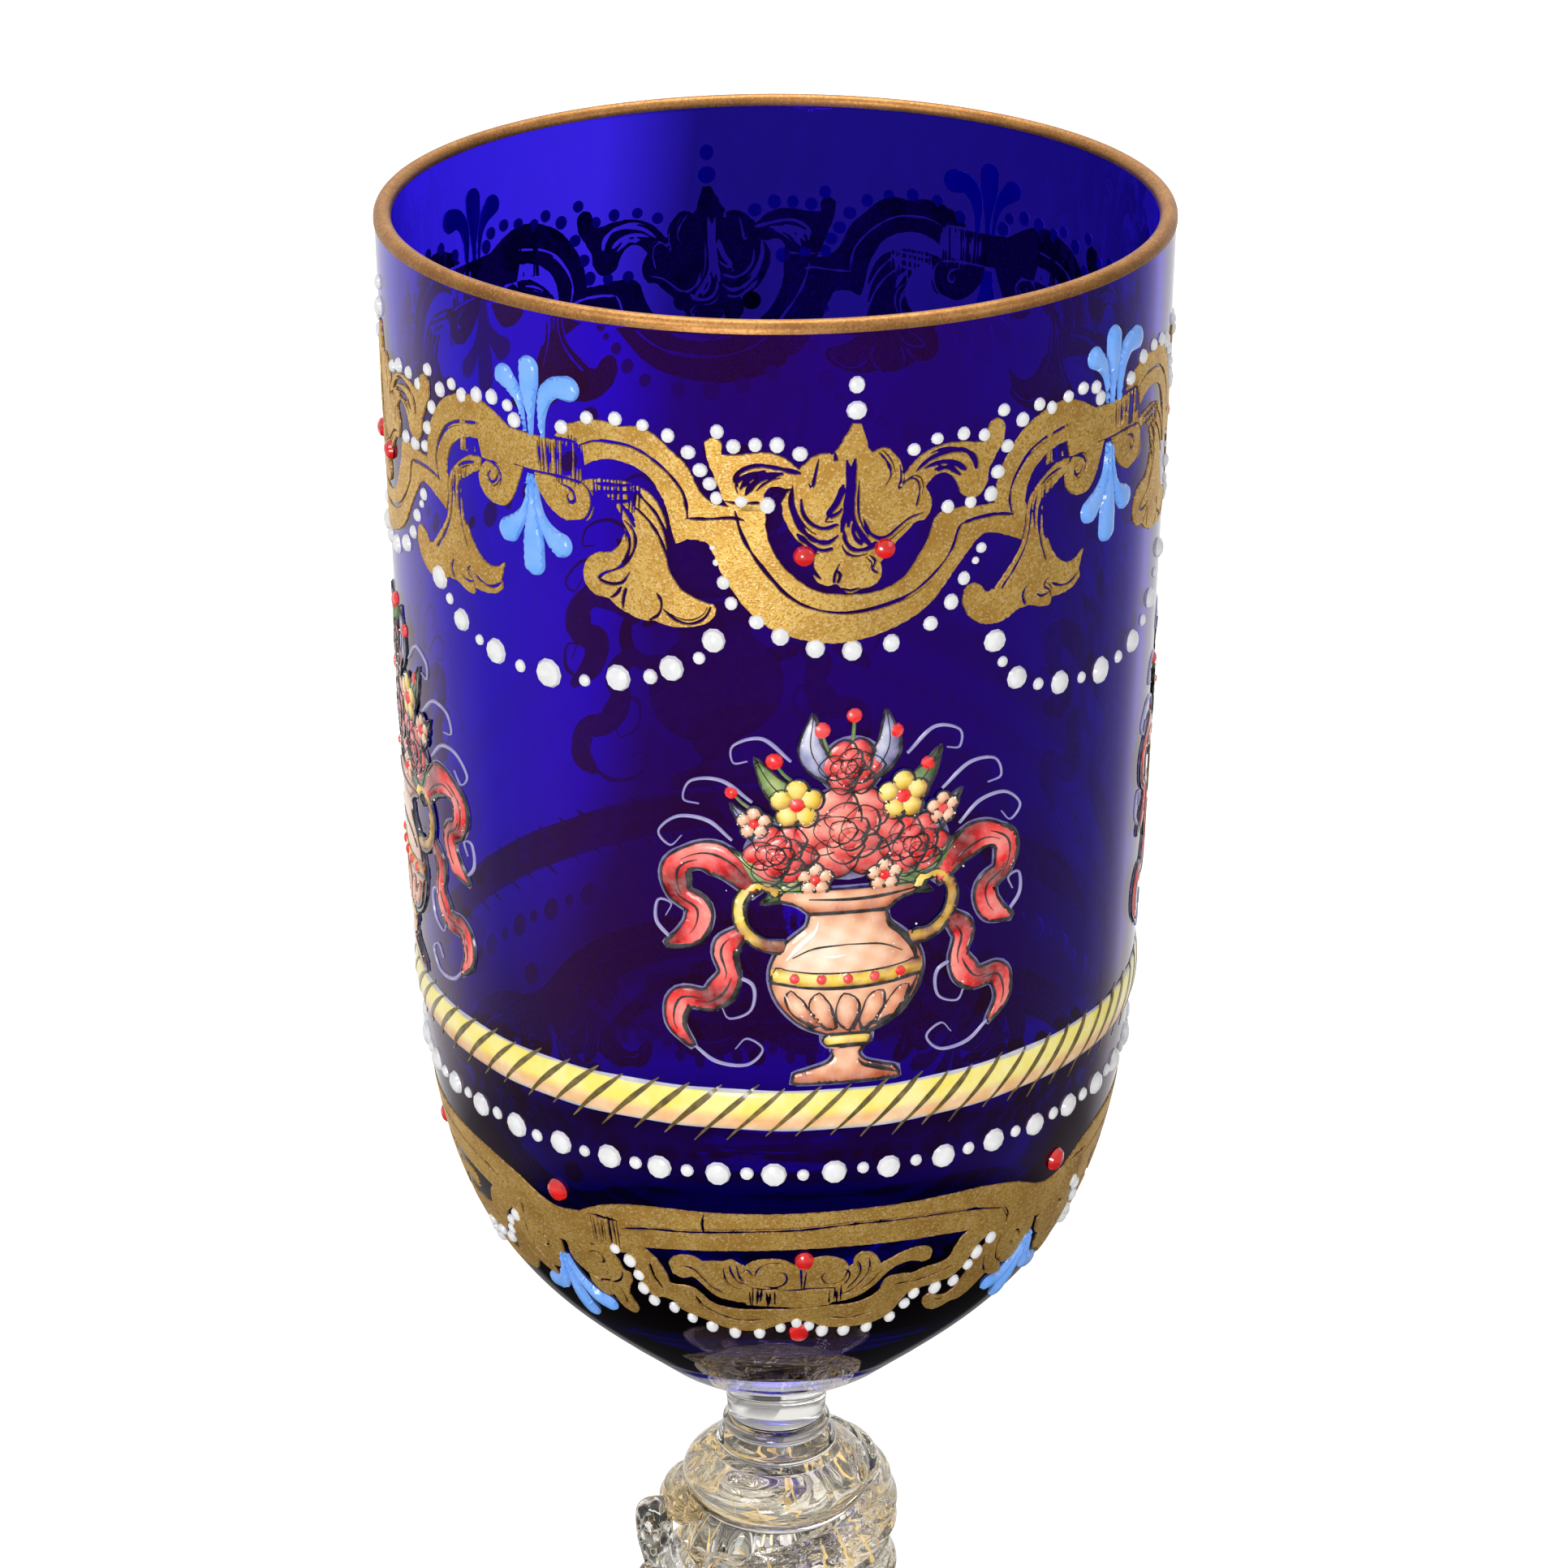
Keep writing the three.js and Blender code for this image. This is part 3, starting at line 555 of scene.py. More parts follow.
def maths(tree, operation, *values):
    sockets = {f"i{i}": value for i, value in enumerate(values)}
    return node(tree, "Math", {"operation": operation}, **sockets).outputs[0]


def spread(tree, value, low, high, start=0.0, end=1.0):
    """Maps the range from start to end onto the range from low to high."""
    return node(tree, "MapRange", i0=value, i1=start, i2=end, i3=low, i4=high).outputs[0]


def noise(tree, place, scale, detail=2.0):
    return node(tree, "TexNoise", Vector=place, Scale=scale, Detail=detail).outputs[0]


def own_place(tree):
    return node(tree, "TexCoord").outputs["Object"]


def ramp(tree, factor, *stops):
    """Goes through colours, or greys given as numbers, as the factor passes their positions."""
    made = node(tree, "ValToRGB", i0=factor)
    elements = made.color_ramp.elements
    while len(elements) < len(stops):
        elements.new(1.0)
    for element, (position, value) in zip(elements, stops):
        element.position = position
        element.color = (value, value, value, 1) if isinstance(value, (int, float)) else tuple(value)
    return made.outputs[0]


def mix_colour(tree, share, first, second):
    return node(tree, "Mix", {"data_type": "RGBA"}, i0=share, i6=first, i7=second).outputs[2]


def gilt_grain(tree, given):
    """Fired gold: metal grain, soft cloudiness, thin patches and painted glints, pale cells standing for
    sparkle.
    """
    place = own_place(tree)
    grain = noise(tree, place, scale=7000.0, detail=1.0)
    spark = node(tree, "TexVoronoi", Vector=place, Scale=5200.0).outputs
    thin = ramp(tree, noise(tree, place, scale=260.0, detail=3.0), (0.36, 0.0), (0.68, 1.0))
    cloudy = mix_colour(tree, thin, given["Gold"], given["Worn"])
    speck = ramp(tree, spark["Color"], (0.24, 0.0), (0.40, 1.0))
    dark = mix_colour(tree, speck, given["Worn"], cloudy)
    # Painted glints: the brightest cells take a paler gold, in place of sparkling light.
    glint = ramp(tree, spark["Color"], (0.68, 0.0), (0.80, 0.9))
    return {"Color": mix_colour(tree, glint, dark, given["Glint"]),
            "Roughness": spread(tree, grain, 0.34, 0.56), "Height": maths(tree, "ADD", grain, spark[0])}


def enamel_body(tree, given):
    """Fired enamel: brushed clouds of a second colour and the pinholes of small bubbles."""
    place = own_place(tree)
    cloud = noise(tree, place, given["Scale"], detail=3.0)
    holes = node(tree, "TexVoronoi", Vector=place, Scale=1500.0).outputs[0]
    share = ramp(tree, cloud, (0.38, 0.0), (0.66, 1.0))
    pit = ramp(tree, holes, (0.0, 0.0), (0.16, 1.0))
    return {"Color": mix_colour(tree, share, given["Colour"], given["Shade"]),
            "Roughness": spread(tree, cloud, 0.16, 0.34), "Height": maths(tree, "ADD", cloud, pit)}


def blown_ripple(tree, given):
    """The slow waves and fine cords of blown glass."""
    stretched = node(tree, "Mapping", i0=own_place(tree), Scale=(1.0, 1.0, 3.0)).outputs[0]
    return {"Height": noise(tree, stretched, given["Scale"], detail=1.5)}


def grouped(tree, build, **inputs):
    """Places the node group that the function builds, once for all materials, and gives its outputs."""
    group = bpy.data.node_groups.get(build.__name__)
    if group is None:
        group = bpy.data.node_groups.new(build.__name__, "ShaderNodeTree")
        for name in inputs:
            kind = "NodeSocketFloat" if name == "Scale" else "NodeSocketColor"
            group.interface.new_socket(name=name, in_out="INPUT", socket_type=kind)
        made = build(group, group.nodes.new("NodeGroupInput").outputs)
        for name in made:
            kind = "NodeSocketColor" if name == "Color" else "NodeSocketFloat"
            group.interface.new_socket(name=name, in_out="OUTPUT", socket_type=kind)
        plug(group, group.nodes.new("NodeGroupOutput"), **made)
    placed = tree.nodes.new("ShaderNodeGroup")
    placed.node_tree = group
    return plug(tree, placed, **inputs).outputs


def relief_of(tree, height, strength, depth):
    return node(tree, "Bump", Strength=strength, Distance=depth * MM, Height=height).outputs[0]


def finish(tree, shader, body, strength, depth, **sockets):
    """Gives the shader a group's colour, roughness and relief, and plain values for its other sockets."""
    plug(tree, shader, Base_Color=body["Color"], Roughness=body["Roughness"],
         Normal=relief_of(tree, body["Height"], strength, depth), **sockets)


def darker(colour, share):
    return (*[c * share for c in colour[:3]], 1.0)


def paler(colour, share):
    return (*[c + (1 - c) * share for c in colour[:3]], 1.0)


def gold_surface(tree, shader, gold, worn, metallic, strength, glint=0.16):
    # The glint share says how much paler than the gold its painted glints are.
    body = grouped(tree, gilt_grain, Gold=gold, Worn=worn, Glint=paler(gold, glint))
    finish(tree, shader, body, strength, depth=0.02, Metallic=metallic)


def leaf_surface(tree, shader, colour, glow):
    """Gold leaf inside glass, with a little light of its own for what the glass throws onto it."""
    body = grouped(tree, enamel_body, Colour=colour, Shade=darker(colour, 0.6), Scale=FINE_CLOUD)
    plug(tree, shader, Base_Color=body["Color"], Emission_Color=body["Color"], Emission_Strength=glow,
         Metallic=0.6, Roughness=0.4)


def enamel_surface(tree, shader, colour, shade, scale=FINE_CLOUD, coat=0.4):
    body = grouped(tree, enamel_body, Colour=colour, Shade=shade, Scale=scale)
    finish(tree, shader, body, strength=0.25, depth=0.02, Coat_Weight=coat, Coat_Roughness=0.08)


def glass_surface(tree, shader, colour, ripple, strength, absorbed=None, density=0.0, sheen=(1, 1, 1, 1)):
    wave = grouped(tree, blown_ripple, Scale=ripple)["Height"]
    plug(tree, shader, Base_Color=colour, Roughness=0.0, IOR=1.5, Transmission_Weight=1.0,
         Specular_Tint=sheen, Normal=relief_of(tree, wave, strength, depth=0.4))
    if absorbed is not None:
        soak = node(tree, "VolumeAbsorption", Color=absorbed, Density=density)
        plug(tree, tree.nodes["Material Output"], Volume=soak.outputs[0])


def painted_surface(tree, shader):
    """Enamel painted in several colours, read from the mesh's own paint."""
    paint = node(tree, "VertexColor", {"layer_name": "paint"}).outputs["Color"]
    lighter = mix_colour(tree, 0.12, paint, (0.9, 0.82, 0.78, 1))
    body = grouped(tree, enamel_body, Colour=paint, Shade=lighter, Scale=FINE_CLOUD)
    finish(tree, shader, body, strength=0.3, depth=0.03, Coat_Weight=0.3, Coat_Roughness=0.1)


def rope_surface(tree, shader, upper, lower):
    """The rope band: yellow above, peach below, with a thin grey-white line along both edges."""
    place = own_place(tree)
    height = node(tree, "SeparateXYZ", Vector=place).outputs["Z"]
    shifted = maths(tree, "MULTIPLY_ADD", noise(tree, place, scale=180.0), 0.5 * MM, height)
    level = spread(tree, shifted, 0.0, 1.0, RIM_Z - ROPE_BOTTOM * MM, RIM_Z - ROPE_TOP * MM)
    edge = screen(176, 176, 186)
    bands = ramp(tree, level, (0.10, edge), (0.16, lower), (0.36, lower), (0.56, upper), (0.98, upper),
                 (1.06, edge))
    streaks = mix_colour(tree, 0.25, bands, (1, 1, 0.85, 1))
    body = grouped(tree, enamel_body, Colour=bands, Shade=streaks, Scale=400.0)
    finish(tree, shader, body, strength=0.3, depth=0.03, Coat_Weight=0.3)


def new_material(name):
    material = bpy.data.materials.new(name)
    material.use_nodes = True
    tree = material.node_tree
    return material, tree, tree.nodes["Principled BSDF"]


def surface(kind):
    """The material of that kind, made the first time it is asked for."""
    if kind in bpy.data.materials:
        return bpy.data.materials[kind]
    tints = bpy.context.scene.goblet_colours
    worn = tints.worn_gold
    finishes = {
        "cobalt_glass": (glass_surface, dict(
            colour=tints.blue_glass, ripple=45.0, strength=0.03, absorbed=(0.517, 0.378, 0.946, 1),
            density=2000.0, sheen=(1.0, 0.12, 0.8, 1))),
        "crystal": (glass_surface, dict(colour=tints.clear_glass, ripple=120.0, strength=0.10)),
        "flecked_glass": (glass_surface, dict(colour=tints.flecked_glass, ripple=160.0, strength=0.12)),
        "fired_gold": (gold_surface, dict(gold=tints.gold, worn=worn, metallic=0.75, strength=0.6)),
        "gilt_fringe": (gold_surface, dict(
            gold=darker(worn, 0.7), worn=darker(worn, 0.4), metallic=0.4, strength=0.2)),
        "rim_gold": (gold_surface, dict(
            gold=screen(182, 132, 76), worn=screen(156, 108, 60), metallic=0.95, strength=0.03, glint=0.03)),
        # Painted light: both leaf finishes glow with light of their own, and the second is the same leaf
        # painted darker, with half the glow.
        "gold_leaf": (leaf_surface, dict(colour=tints.leaf, glow=1.0)),
        "dim_gold_leaf": (leaf_surface, dict(colour=darker(tints.leaf, 0.8), glow=0.5)),
        "plume_enamel": (enamel_surface, dict(
            colour=tints.plume, shade=paler(tints.plume, 0.08), scale=300.0)),
        "pearl_enamel": (enamel_surface, dict(colour=tints.pearl, shade=darker(tints.pearl, 0.88))),
        "jewel_enamel": (enamel_surface, dict(
            colour=tints.jewel, shade=darker(tints.jewel, 0.7), scale=500.0, coat=1.0)),
        "line_enamel": (enamel_surface, dict(colour=tints.line, shade=paler(tints.line, 0.05))),
        "scene_paint": (painted_surface, {}),
        "rope_stroke": (enamel_surface, dict(colour=screen(84, 72, 34), shade=screen(124, 104, 56))),
        "rope_paint": (rope_surface, dict(upper=tints.rope_upper, lower=tints.rope_lower)),
    }
    material, tree, shader = new_material(kind)
    fill, values = finishes[kind]
    fill(tree, shader, **values)
    material.cycles.emission_sampling = "NONE"
    return material


# What is drawn on the bowl, in millimetres across from the front and down from the rim

# An outline is a list of runs that meet at corners. Ties are places of hatching: left, right, top, bottom
# and the number of scratches. Lines are engraved along their points.

UPPER_ARCH_LEFT = [
    [(-21.8, 13.4), (-20.6, 12), (-19, 11.1), (-16.8, 10.6), (-14.6, 10.9), (-12.6, 10.7), (-11, 11.5),
     (-9.6, 12.8), (-8.4, 13.9), (-7.6, 15.3), (-7, 16.6), (-5.8, 17.7), (-4.4, 18), (-3, 18)],
    [(-3, 21.6), (-7, 21.6)],
    [(-7, 21.5), (-8.2, 21.5), (-9.2, 22)],
    [(-9.2, 22), (-9.7, 20.4), (-10.1, 18.4), (-10.9, 16.7), (-12, 15.3), (-13.6, 14.5), (-15.6, 14.2),
     (-17.3, 14.7), (-18.7, 15.7)],
    [(-18.9, 16.9), (-21.8, 16.9)],
]
UPPER_STRAP = [
    [(-7, 21.4), (-6.2, 21.8), (-5.6, 23), (-5, 24.6), (-4.1, 26.2), (-3, 27.8), (-1.8, 29.2), (-0.2, 30.4),
     (1.8, 31.2), (3.8, 31.7), (6, 31.9), (8.5, 31.6), (11, 30.9), (13, 30), (14.8, 28.8), (16.2, 27.2),
     (17.5, 25.5), (18.8, 23.9), (19.8, 22.9), (20.8, 22.5), (22.2, 22.9), (23.6, 23.5), (24.8, 24.1)],
    [(25.1, 22.4), (25, 20.2), (22.2, 19.6)],
    [(22.2, 19.7), (20, 19.7), (18, 19.5), (16.4, 19.6), (15.4, 20), (14.9, 21.2), (14.4, 22.6), (13.4, 24.2),
     (12.4, 25.6), (11, 26.5), (9.4, 27), (7.6, 27.1), (5.8, 27), (4, 26.6), (2.6, 25.8), (1.4, 24.7),
     (0.3, 23.4), (-0.5, 21.8), (-0.9, 20), (-0.9, 18.3)],
    [(-3.4, 18), (-7, 18)],
]
UPPER_ARCH_RIGHT = [
    [(21.5, 20), (21.8, 17.8), (22.6, 15.7), (23.6, 14.1), (25, 12.7), (27, 11.7), (29, 11.2), (31, 11.4),
     (33, 12.3), (34.9, 13.4)],
    [(34.9, 17), (30.8, 17.1)],
    [(30.3, 15.3), (28.8, 15.5), (27.3, 16.1), (26.1, 17.1), (25.3, 18.5), (25, 20.2)],
    [(25, 22), (22, 22)],
]
UPPER_BAR = [[(-33.6, 13.1), (-19, 13.2)], [(-18.5, 16.9), (-26, 16.9), (-33.6, 17.1)]]
LEAF_LEFT = [
    [(-18.4, 16.8), (-17, 16.5), (-14.5, 16.3), (-12.7, 16.7), (-11.3, 17.7), (-10.5, 19.2), (-10, 21.6),
     (-9.7, 24), (-9.2, 25.8), (-8.3, 27), (-7, 27.7), (-5.8, 28)],
    [(-5.5, 28.4), (-5.8, 29.3), (-6.6, 30), (-8, 30.4), (-10, 30.5), (-11.4, 30.1), (-12.4, 30.2),
     (-13.7, 29.8), (-15, 29.2), (-16, 28.4)],
    [(-16, 28.4), (-17.4, 28.2), (-18.4, 27.3), (-18.6, 25.9), (-18, 24.6), (-17, 23.9)],
    [(-17, 23.9), (-15.8, 23.7), (-14.8, 22.9), (-14.3, 21.6), (-14.4, 20.2), (-15, 19), (-16, 18),
     (-17.4, 17.7), (-18.4, 17.6)],
]
LEAF_RIGHT = [
    [(30.6, 17.2), (29, 17.4), (27.6, 18.2), (26.2, 19.4), (25.4, 21), (25.3, 23), (24.7, 25), (23.4, 26.8),
     (21.9, 28.5)],
    [(21.9, 28.5), (20.9, 28.7), (20.2, 27.9), (19.2, 27.5), (18.5, 28.1), (18.4, 29.3), (18.9, 30.6),
     (20, 31.6), (21.6, 32.1), (23.2, 31.9), (24.8, 31.2)],
    [(24.8, 31.2), (26.2, 31.2), (27.4, 31.6), (28.6, 31.8), (29, 31)],
    [(29, 31), (30.4, 31.1), (31.8, 30.8), (32.9, 30), (32.7, 29.2)],
    [(32.7, 29.2), (33.3, 27.2)],
    [(33.3, 27.2), (32.2, 28), (30.8, 28), (29.4, 27), (28.2, 25), (27.6, 22.6), (27.7, 20.8), (28.7, 19.4),
     (30.4, 18.4)],
]
SCROLL_BY_LEFT = [
    [(-23.9, 16.8), (-23.4, 18.6), (-22.1, 20.2), (-20.6, 21.1), (-19.1, 21.2), (-17.9, 20.6), (-17.4, 19.4),
     (-17.5, 18), (-18.6, 16.8)],
]
SCROLL_BY_RIGHT = [
    [(36, 16.8), (35.3, 18.8), (34.4, 20.6), (33.1, 21.4), (31.4, 21.1), (30.4, 20), (30.3, 18.6),
     (31.2, 17.4), (32.4, 16.8)],
]
CROWN = [
    [(7.2, 9.9), (6.6, 10.9), (6, 12), (5.3, 12.9)],
    [(5.3, 12.9), (4.6, 12.7), (3.8, 12.9), (3, 13.4), (2.3, 14.2)],
    [(2.3, 14.2), (1.9, 15.6), (1.1, 16.6), (0.6, 17.6)],
    [(0.6, 17.6), (0.9, 19.2), (1.6, 20.6), (2.7, 21.8), (4.1, 22.3)],
    [(4.1, 22.3), (3.5, 23.2), (3.4, 24.4), (3.9, 25.5), (4.9, 26), (5.7, 25.8)],
    [(5.7, 25.8), (6.4, 26.5), (7.1, 26.9), (7.9, 26.5), (9, 26.3), (9.8, 25.7), (10, 24.8), (9.8, 24)],
    [(9.8, 24), (10.6, 23), (11.5, 21.9), (12.5, 20.9), (13.3, 20.2), (14.2, 20), (14.7, 19.1), (14.7, 17.8),
     (13.9, 16.5)],
    [(13.9, 16.5), (12.8, 16.2), (12, 15.4), (11.7, 14.2), (11.1, 13.2), (10.4, 12.6), (9.8, 12.5)],
    [(9.8, 12.5), (9.2, 12.8), (8.7, 12.6), (8.3, 11.2), (7.9, 9.9)],
]
CROWN_LEAF_LEFT = [
    [(-6.4, 11.7), (-5.7, 11.2), (-4.9, 11.7), (-4.9, 12.8)],
    [(-4.9, 12.8), (-3.6, 12.9), (-2, 12.6), (-0.5, 12.6), (0.9, 13.1), (1.9, 14), (2.9, 14.4)],
    [(2.6, 15.8), (1, 16.1)],
    [(1, 16.1), (0, 15.8), (-0.9, 16.4), (-1, 18.4)],
    [(-3.6, 18.4), (-4.6, 17.5), (-5.2, 16), (-5.8, 14.4), (-6.3, 13)],
]
CROWN_LEAF_RIGHT = [
    [(12, 15.6), (12.9, 14.4), (14.2, 13.4), (16, 12.9), (17.8, 12.9), (19.2, 13.2), (20.1, 13.3)],
    [(20.1, 13.3), (20.6, 12.3), (20.9, 11.5), (21.7, 11.2), (22.4, 11.9), (22.3, 13.3), (21.5, 14.7),
     (20.8, 15.9), (20.6, 17.2), (19.9, 18.4), (18.8, 18.6), (17.9, 18), (17.4, 16.8), (16.8, 16)],
    [(16.8, 16), (15.8, 15.6), (14.8, 16), (13.6, 17.2), (12.4, 16.6)],
]
UPPER_LINES = [
    [(-19, 13.5), (-17.2, 12.7), (-15.2, 12.6), (-13, 12.9), (-11.2, 13.9), (-9.6, 15.3), (-8.5, 16.9),
     (-8.2, 18.3), (-8.1, 19.4)],
    [(-8.3, 19.4), (-6, 19.3), (-4, 19.1), (-2.8, 19.3)],
    [(-3.7, 18.2), (-3.3, 20), (-2.6, 21.8), (-1.3, 23.9), (0.2, 25.9), (1.8, 27.4), (3.6, 28.3), (5.7, 28.8),
     (8, 28.8), (10.3, 28.4), (12.5, 27.7), (14.3, 26.6), (16, 25), (17.1, 23.4), (17.6, 21.8), (18, 21.1)],
    [(18, 21.1), (20, 20.9), (22, 20.9), (23.8, 21.3)],
    [(23.8, 21.4), (23.3, 20), (23.4, 18.4), (24.2, 16.8), (25.5, 15.3), (27.2, 14.4), (29, 14),
     (30.6, 13.7)],
    [(-33.4, 13.2), (-31, 12.9), (-27, 13), (-23, 13.1), (-19, 13.1)],
    [(-32.6, 17), (-29, 16.7), (-25, 16.9), (-21, 16.9), (-18.6, 17.1)],
    [(-20.9, 17.6), (-19.9, 17.9), (-19.3, 18.6), (-19.6, 19.4), (-20.2, 19), (-20, 18.4)],
    [(-18.6, 17), (-17.7, 18), (-17.7, 19.6), (-18.5, 20.9), (-20.4, 21.3)],
    [(33, 18), (32.6, 18.9), (31.9, 19.3), (31.5, 18.7), (31.9, 18.1)],
    [(31.2, 17.2), (32.4, 17.4), (33.2, 18.2), (33.1, 19.4)],
    [(-14.3, 20.2), (-13.4, 21.1), (-13.2, 22.5), (-13.8, 24), (-15, 25.2), (-16.4, 25.9), (-17, 26.5),
     (-16, 26.9), (-14.6, 26.6), (-13.8, 25.4)],
    [(-13.4, 18.6), (-12, 19.8), (-10.9, 21.4), (-10.2, 23.2), (-9.7, 25), (-8.9, 26.4), (-8.1, 27.1)],
    [(-14, 19), (-13.2, 20.2)],
    [(-17.2, 16.9), (-15.4, 16.9), (-13, 16.5)],
    [(-17.2, 17.8), (-15.4, 17.6), (-13, 17.3)],
    [(-17, 18.5), (-15.2, 18.5), (-13.6, 18.2)],
    [(-13.3, 16.8), (-12.1, 18.1), (-11.2, 19.1), (-10.3, 20.7), (-9.9, 22.3), (-9.5, 24.6), (-8.6, 26.6)],
    [(-14.8, 20), (-14.1, 21.1), (-13.8, 22.2), (-13.9, 23.4), (-14.6, 24.6)],
    [(-14.6, 18.4), (-13.9, 19.6), (-13.2, 20.8)],
    [(28.3, 19.6), (27.6, 21.2), (27.5, 23), (28, 24.8)],
    [(26.6, 19.6), (26.3, 21.4), (26.4, 23.4)],
    [(-11.2, 27.2), (-10.7, 28.3), (-11.1, 29.5), (-12, 30.1)],
    [(-10.6, 28.8), (-9.4, 29.8), (-7.9, 30.1), (-6.6, 29.4), (-6, 28.2)],
    [(-14.6, 29.3), (-14.5, 28.1), (-14.2, 27.1)],
    [(-14.7, 27), (-15.3, 28), (-15.9, 28.3)],
    [(27.9, 20), (27, 21), (26.9, 23), (27.3, 25), (28, 27)],
    [(25.9, 20.6), (25.8, 22.8), (25.3, 24.9), (24.1, 26.9), (22.6, 28.7)],
    [(25.7, 29), (25.2, 30), (25.6, 31)],
    [(28.9, 31), (28.6, 30.2), (27.8, 29.6), (28.4, 28.9)],
    [(26.9, 30.2), (27.8, 30.7), (28.6, 30.4)],
    [(32.8, 29.4), (31.6, 30.2), (30.2, 30.2), (28.9, 29.6)],
    [(27, 19), (28.2, 18.3), (29.6, 17.9)],
]
CROWN_CREASES = [
    [(6.6, 13.4), (6.9, 15.4), (6.7, 17.4), (6.4, 19), (6.2, 20.7)],
    [(7.4, 13.3), (7.2, 15), (7.1, 17), (7.2, 19), (7.9, 20.8), (8.9, 22.1)],
    [(7, 14.6), (7, 17.4), (6.8, 20.2)],
    [(6.3, 15.8), (6, 17), (5.5, 18), (4.9, 18.9), (5.7, 18.9), (6.2, 18.2)],
    [(2.4, 17.1), (2.6, 18.6), (3.4, 19.7), (4.6, 20.2), (5.9, 19.8)],
    [(1.6, 16), (1.5, 17.5), (1.9, 19.2), (2.8, 20.6), (3.8, 21.4), (5, 21.6), (5.9, 20.9)],
    [(2, 20.6), (3, 21.6), (4.3, 22.4), (5.4, 22.2)],
    [(6.4, 20.5), (6.6, 21.7), (7.4, 22.5), (8.6, 22.5), (9.6, 21.9)],
    [(7.2, 19.8), (7.4, 21.2), (8.2, 22)],
    [(-3.4, 16), (-3.6, 15), (-2.8, 14.2), (-1.5, 13.8), (0, 14), (1.2, 14.3), (2.4, 14.6)],
    [(-2.7, 16.8), (-2, 15.7), (-0.8, 14.9), (0.8, 14.6)],
    [(-3.2, 16.2), (-2.2, 15), (-0.8, 14.4)],
    [(13.2, 15.2), (14.6, 14.1), (16.5, 13.6), (18.2, 13.8), (19.2, 14.8), (19.4, 15.9)],
    [(14, 15), (15.4, 14.6), (17, 14.8), (18.4, 15.8)],
    [(15, 15.2), (16.6, 15.3), (17.8, 16.2)],
]
CROWN_LINES = [
    [(4, 13.2), (3.7, 14.7), (3.4, 16.1), (3.1, 15.6)],
    [(5.5, 12.6), (5.6, 13.5)],
    [(9.6, 12.9), (10.4, 13.9), (10.8, 15.2), (10.3, 16.2)],
    [(11.6, 14.3), (11.8, 15.6), (11.6, 16.7), (12.3, 15.9), (13.2, 15.9), (13.6, 17), (13.3, 18.7)],
    [(8.2, 19.4), (8.9, 21), (10.2, 21.5), (11.3, 20.8), (12.6, 19.8), (14, 19.4)],
    [(3.8, 22.4), (3.5, 23.4), (3.6, 24.5), (4.3, 25.3)],
    [(6, 23.8), (5.6, 24.8), (5.5, 25.8)],
    [(5.7, 24.4), (6.1, 25), (5.8, 25.8)],
    [(8.8, 23.1), (9.4, 23.8), (9.1, 24.6), (9.7, 25)],
    [(6.2, 26.3), (7, 26.6), (8, 26.4)],
    [(-4.6, 17.4), (-3.4, 17.6), (-1.4, 17.5)],
]
HATCH_TIES = [
    (-33, -28.6, 12.9, 17.3, 22), (-33.2, -30.2, 13.2, 21.4, 9), (-23.6, -21.4, 13.2, 16.8, 7),
    (-21.4, -18.4, 12.9, 17.3, 21), (-17.4, -12.6, 15.9, 19.6, 15), (-33.6, -31.8, 16.8, 22.2, 7),
    (27, 28.4, 19, 24, 5),
]


CORNICE = [
    [(-23, 98.1), (-21, 97), (-19, 96.2), (-16.5, 95.6), (-13, 95.2), (-9, 95.1), (-4, 95), (2, 94.9),
     (8, 94.8), (14, 94.9), (20, 95.1), (24, 95.4), (27, 96), (29.6, 96.7), (31.6, 97.6), (33.6, 98.4),
     (35.2, 98.6), (36.8, 98.4), (38.3, 98.1)],
    [(39, 102.2), (36, 102.8), (33.5, 102.9), (30.6, 102.7), (28, 102.9)],
    [(26.2, 101.8), (24, 100.8), (20, 100.1), (15, 99.7), (10, 99.4), (5, 99.3), (0, 99.4), (-4, 99.6),
     (-8, 99.9), (-12, 100.3), (-15.2, 100.7)],
    [(-17.6, 102), (-20, 102.4), (-22.6, 102.4)],
]
CARTOUCHE = [
    [(-17.8, 100), (-17.5, 101.8), (-17, 103.2), (-16.3, 105), (-15.9, 106.7), (-14.9, 107.5),
     (-13.7, 107.4)],
    [(-13.7, 107.4), (-12.6, 107.7), (-11.8, 108.8), (-10.4, 109.5), (-8.4, 110.2), (-6.6, 111.1),
     (-4.5, 111.5), (-2, 111.3), (-0.3, 110.6), (1, 110), (2.6, 109.7), (4.4, 110), (5.8, 110.8),
     (7.5, 111.2), (10, 111.4), (12.3, 111.3), (14, 110.6), (15, 109.6), (15.6, 108.4), (16.4, 107.3)],
    [(16.4, 107.3), (18, 107), (20, 106.9), (22, 106.6), (23.3, 105.8), (24.1, 104.4), (24.9, 103.1),
     (26, 102.2)],
    [(26.4, 100.6), (23.4, 100.3)],
    [(23.4, 100.5), (22.3, 101.2), (21.6, 102.4), (21.1, 103.6), (20, 104.1), (18, 104.2), (16.5, 104.6),
     (15, 104.4), (13.5, 104.4), (12.8, 105.1), (12.4, 106.3), (11, 107.3), (9, 107.7), (7, 107.7),
     (3, 107.9), (-1, 108), (-4, 108.1), (-6, 107.9), (-7.8, 107.3), (-8.8, 106.2), (-9.7, 105.4),
     (-11, 105.2), (-12.5, 105.2), (-12.8, 104), (-13.6, 102.3), (-15.2, 100.7)],
]
